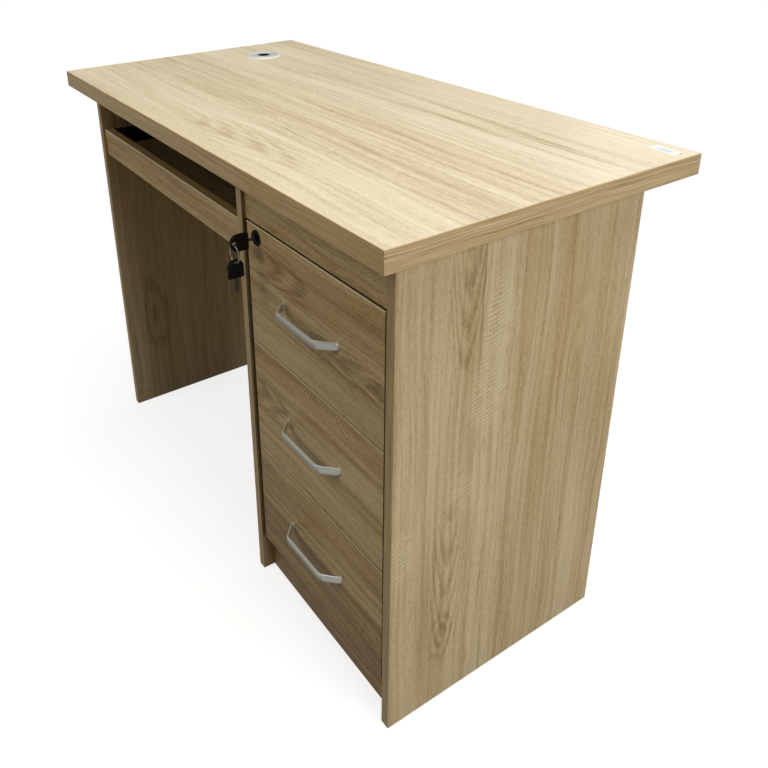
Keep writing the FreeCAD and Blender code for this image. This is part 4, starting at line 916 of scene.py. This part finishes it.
def floor_finish():
    """Pale matt floor: white to the camera but for the desk's soft shadow, greyer as a source of light."""
    finish = Finish("pale_floor")
    bank = finish.nodes

    def coated(kind, shade):
        node = bank.new(kind)
        node.inputs[0].default_value = (*shade, 1)
        return node.outputs[0]

    def layered(share, below, above):
        node = bank.new("ShaderNodeMixShader")
        for socket, value in zip(node.inputs, (share, below, above)):
            finish.put(socket, value)
        return node.outputs[0]

    reach = bank.new("ShaderNodeVectorMath")
    reach.operation = "LENGTH"
    finish.put(reach.inputs[0], finish.place)
    far = finish.spread(reach.outputs["Value"], *FLOOR_FADE)
    shown = bank.new("ShaderNodeAddShader")
    finish.put(shown.inputs[0], coated("ShaderNodeBsdfDiffuse", (0.34, 0.34, 0.34)))
    finish.put(shown.inputs[1], coated("ShaderNodeEmission", (0.78, 0.78, 0.78)))
    white = coated("ShaderNodeEmission", (1, 1, 1))
    bounced = coated("ShaderNodeBsdfDiffuse", (0.13, 0.105, 0.06))
    mirrored = coated("ShaderNodeEmission", (0.43, 0.43, 0.40))
    path = bank.new("ShaderNodeLightPath")
    faded = layered(far, shown.outputs[0], white)
    dull = layered(path.outputs["Is Glossy Ray"], bounced, mirrored)
    either = layered(path.outputs["Is Camera Ray"], dull, faded)
    output = next(node for node in bank if node.type == "OUTPUT_MATERIAL")
    finish.put(output.inputs[0], either)
    return finish.material


bpy.ops.mesh.primitive_plane_add(size=60, location=(0, 0, -0.0005))
floor = bpy.context.object
floor.name = "floor"
floor.data.materials.append(floor_finish())

ROOM_LIGHT = 0.03
ROOM_GLOSS = 0.07
world = bpy.data.worlds.new("soft_room")
scene.world = world
world.use_nodes = True
bank = world.node_tree.nodes
links = world.node_tree.links
bank.clear()
output = bank.new("ShaderNodeOutputWorld")
path = bank.new("ShaderNodeLightPath")
below = None
for tint, strength, ray in (
    ((1.0, 0.97, 0.92, 1), ROOM_LIGHT, None),
    ((1.0, 0.98, 0.95, 1), ROOM_GLOSS, "Is Glossy Ray"),
    ((1.0, 1.0, 1.0, 1), 1.0, "Is Camera Ray"),
):
    layer = bank.new("ShaderNodeBackground")
    layer.inputs[0].default_value = tint
    layer.inputs[1].default_value = strength
    if below is None:
        below = layer
        continue
    mix = bank.new("ShaderNodeMixShader")
    links.new(path.outputs[ray], mix.inputs[0])
    links.new(below.outputs[0], mix.inputs[1])
    links.new(layer.outputs[0], mix.inputs[2])
    below = mix
links.new(below.outputs[0], output.inputs[0])


def soft_lamp(name, place, target, size, power, colour=(1, 1, 1)):
    """Square soft lamp at one point, turned towards another."""
    lamp = bpy.data.lights.new(name, "AREA")
    lamp.shape = "SQUARE"
    lamp.size = size
    lamp.energy = power
    lamp.color = colour
    holder = bpy.data.objects.new(name, lamp)
    holder.location = place
    holder.rotation_euler = (Vector(target) - Vector(place)).to_track_quat("-Z", "Y").to_euler()
    scene.collection.objects.link(holder)
    return holder


TOP_WATTS = 125
RIGHT_WATTS = 60
FRONT_WATTS = 48
BACK_WATTS = 20
SHEEN_WATTS = 9
soft_lamp("overhead_lamp", (0.6, 0.4, 4.2), (0.1, 0.0, 0.6), 3.0, TOP_WATTS, (1.0, 0.985, 0.95))
soft_lamp("right_lamp", (3.3, 0.3, 1.9), (0.3, 0.0, 0.4), 1.8, RIGHT_WATTS)
soft_lamp("front_lamp", (-0.4, -2.9, 2.8), (0.2, -0.2, 0.4), 2.2, FRONT_WATTS, (1.0, 0.94, 0.80))
soft_lamp("back_lamp", (-0.9, 3.4, 1.5), (0.0, 0.2, 0.4), 2.2, BACK_WATTS, (1.0, 0.97, 0.92))
soft_lamp("sheen_lamp", (-1.5, 2.1, 3.0), (0.3, 0.0, 0.75), 1.6, SHEEN_WATTS).visible_diffuse = False

view = bpy.data.cameras.new("photo_view")
view.sensor_width = 36
view.lens = 38.204
view.shift_x = 0.0854
view.shift_y = -0.1969
camera = bpy.data.objects.new("photo_view", view)
camera.location = (1.06355, -0.6812, 1.07982)
camera.rotation_euler = (1.158121, 0.021998, 0.996219)
scene.collection.objects.link(camera)
scene.camera = camera
scene.view_settings.view_transform = "Standard"
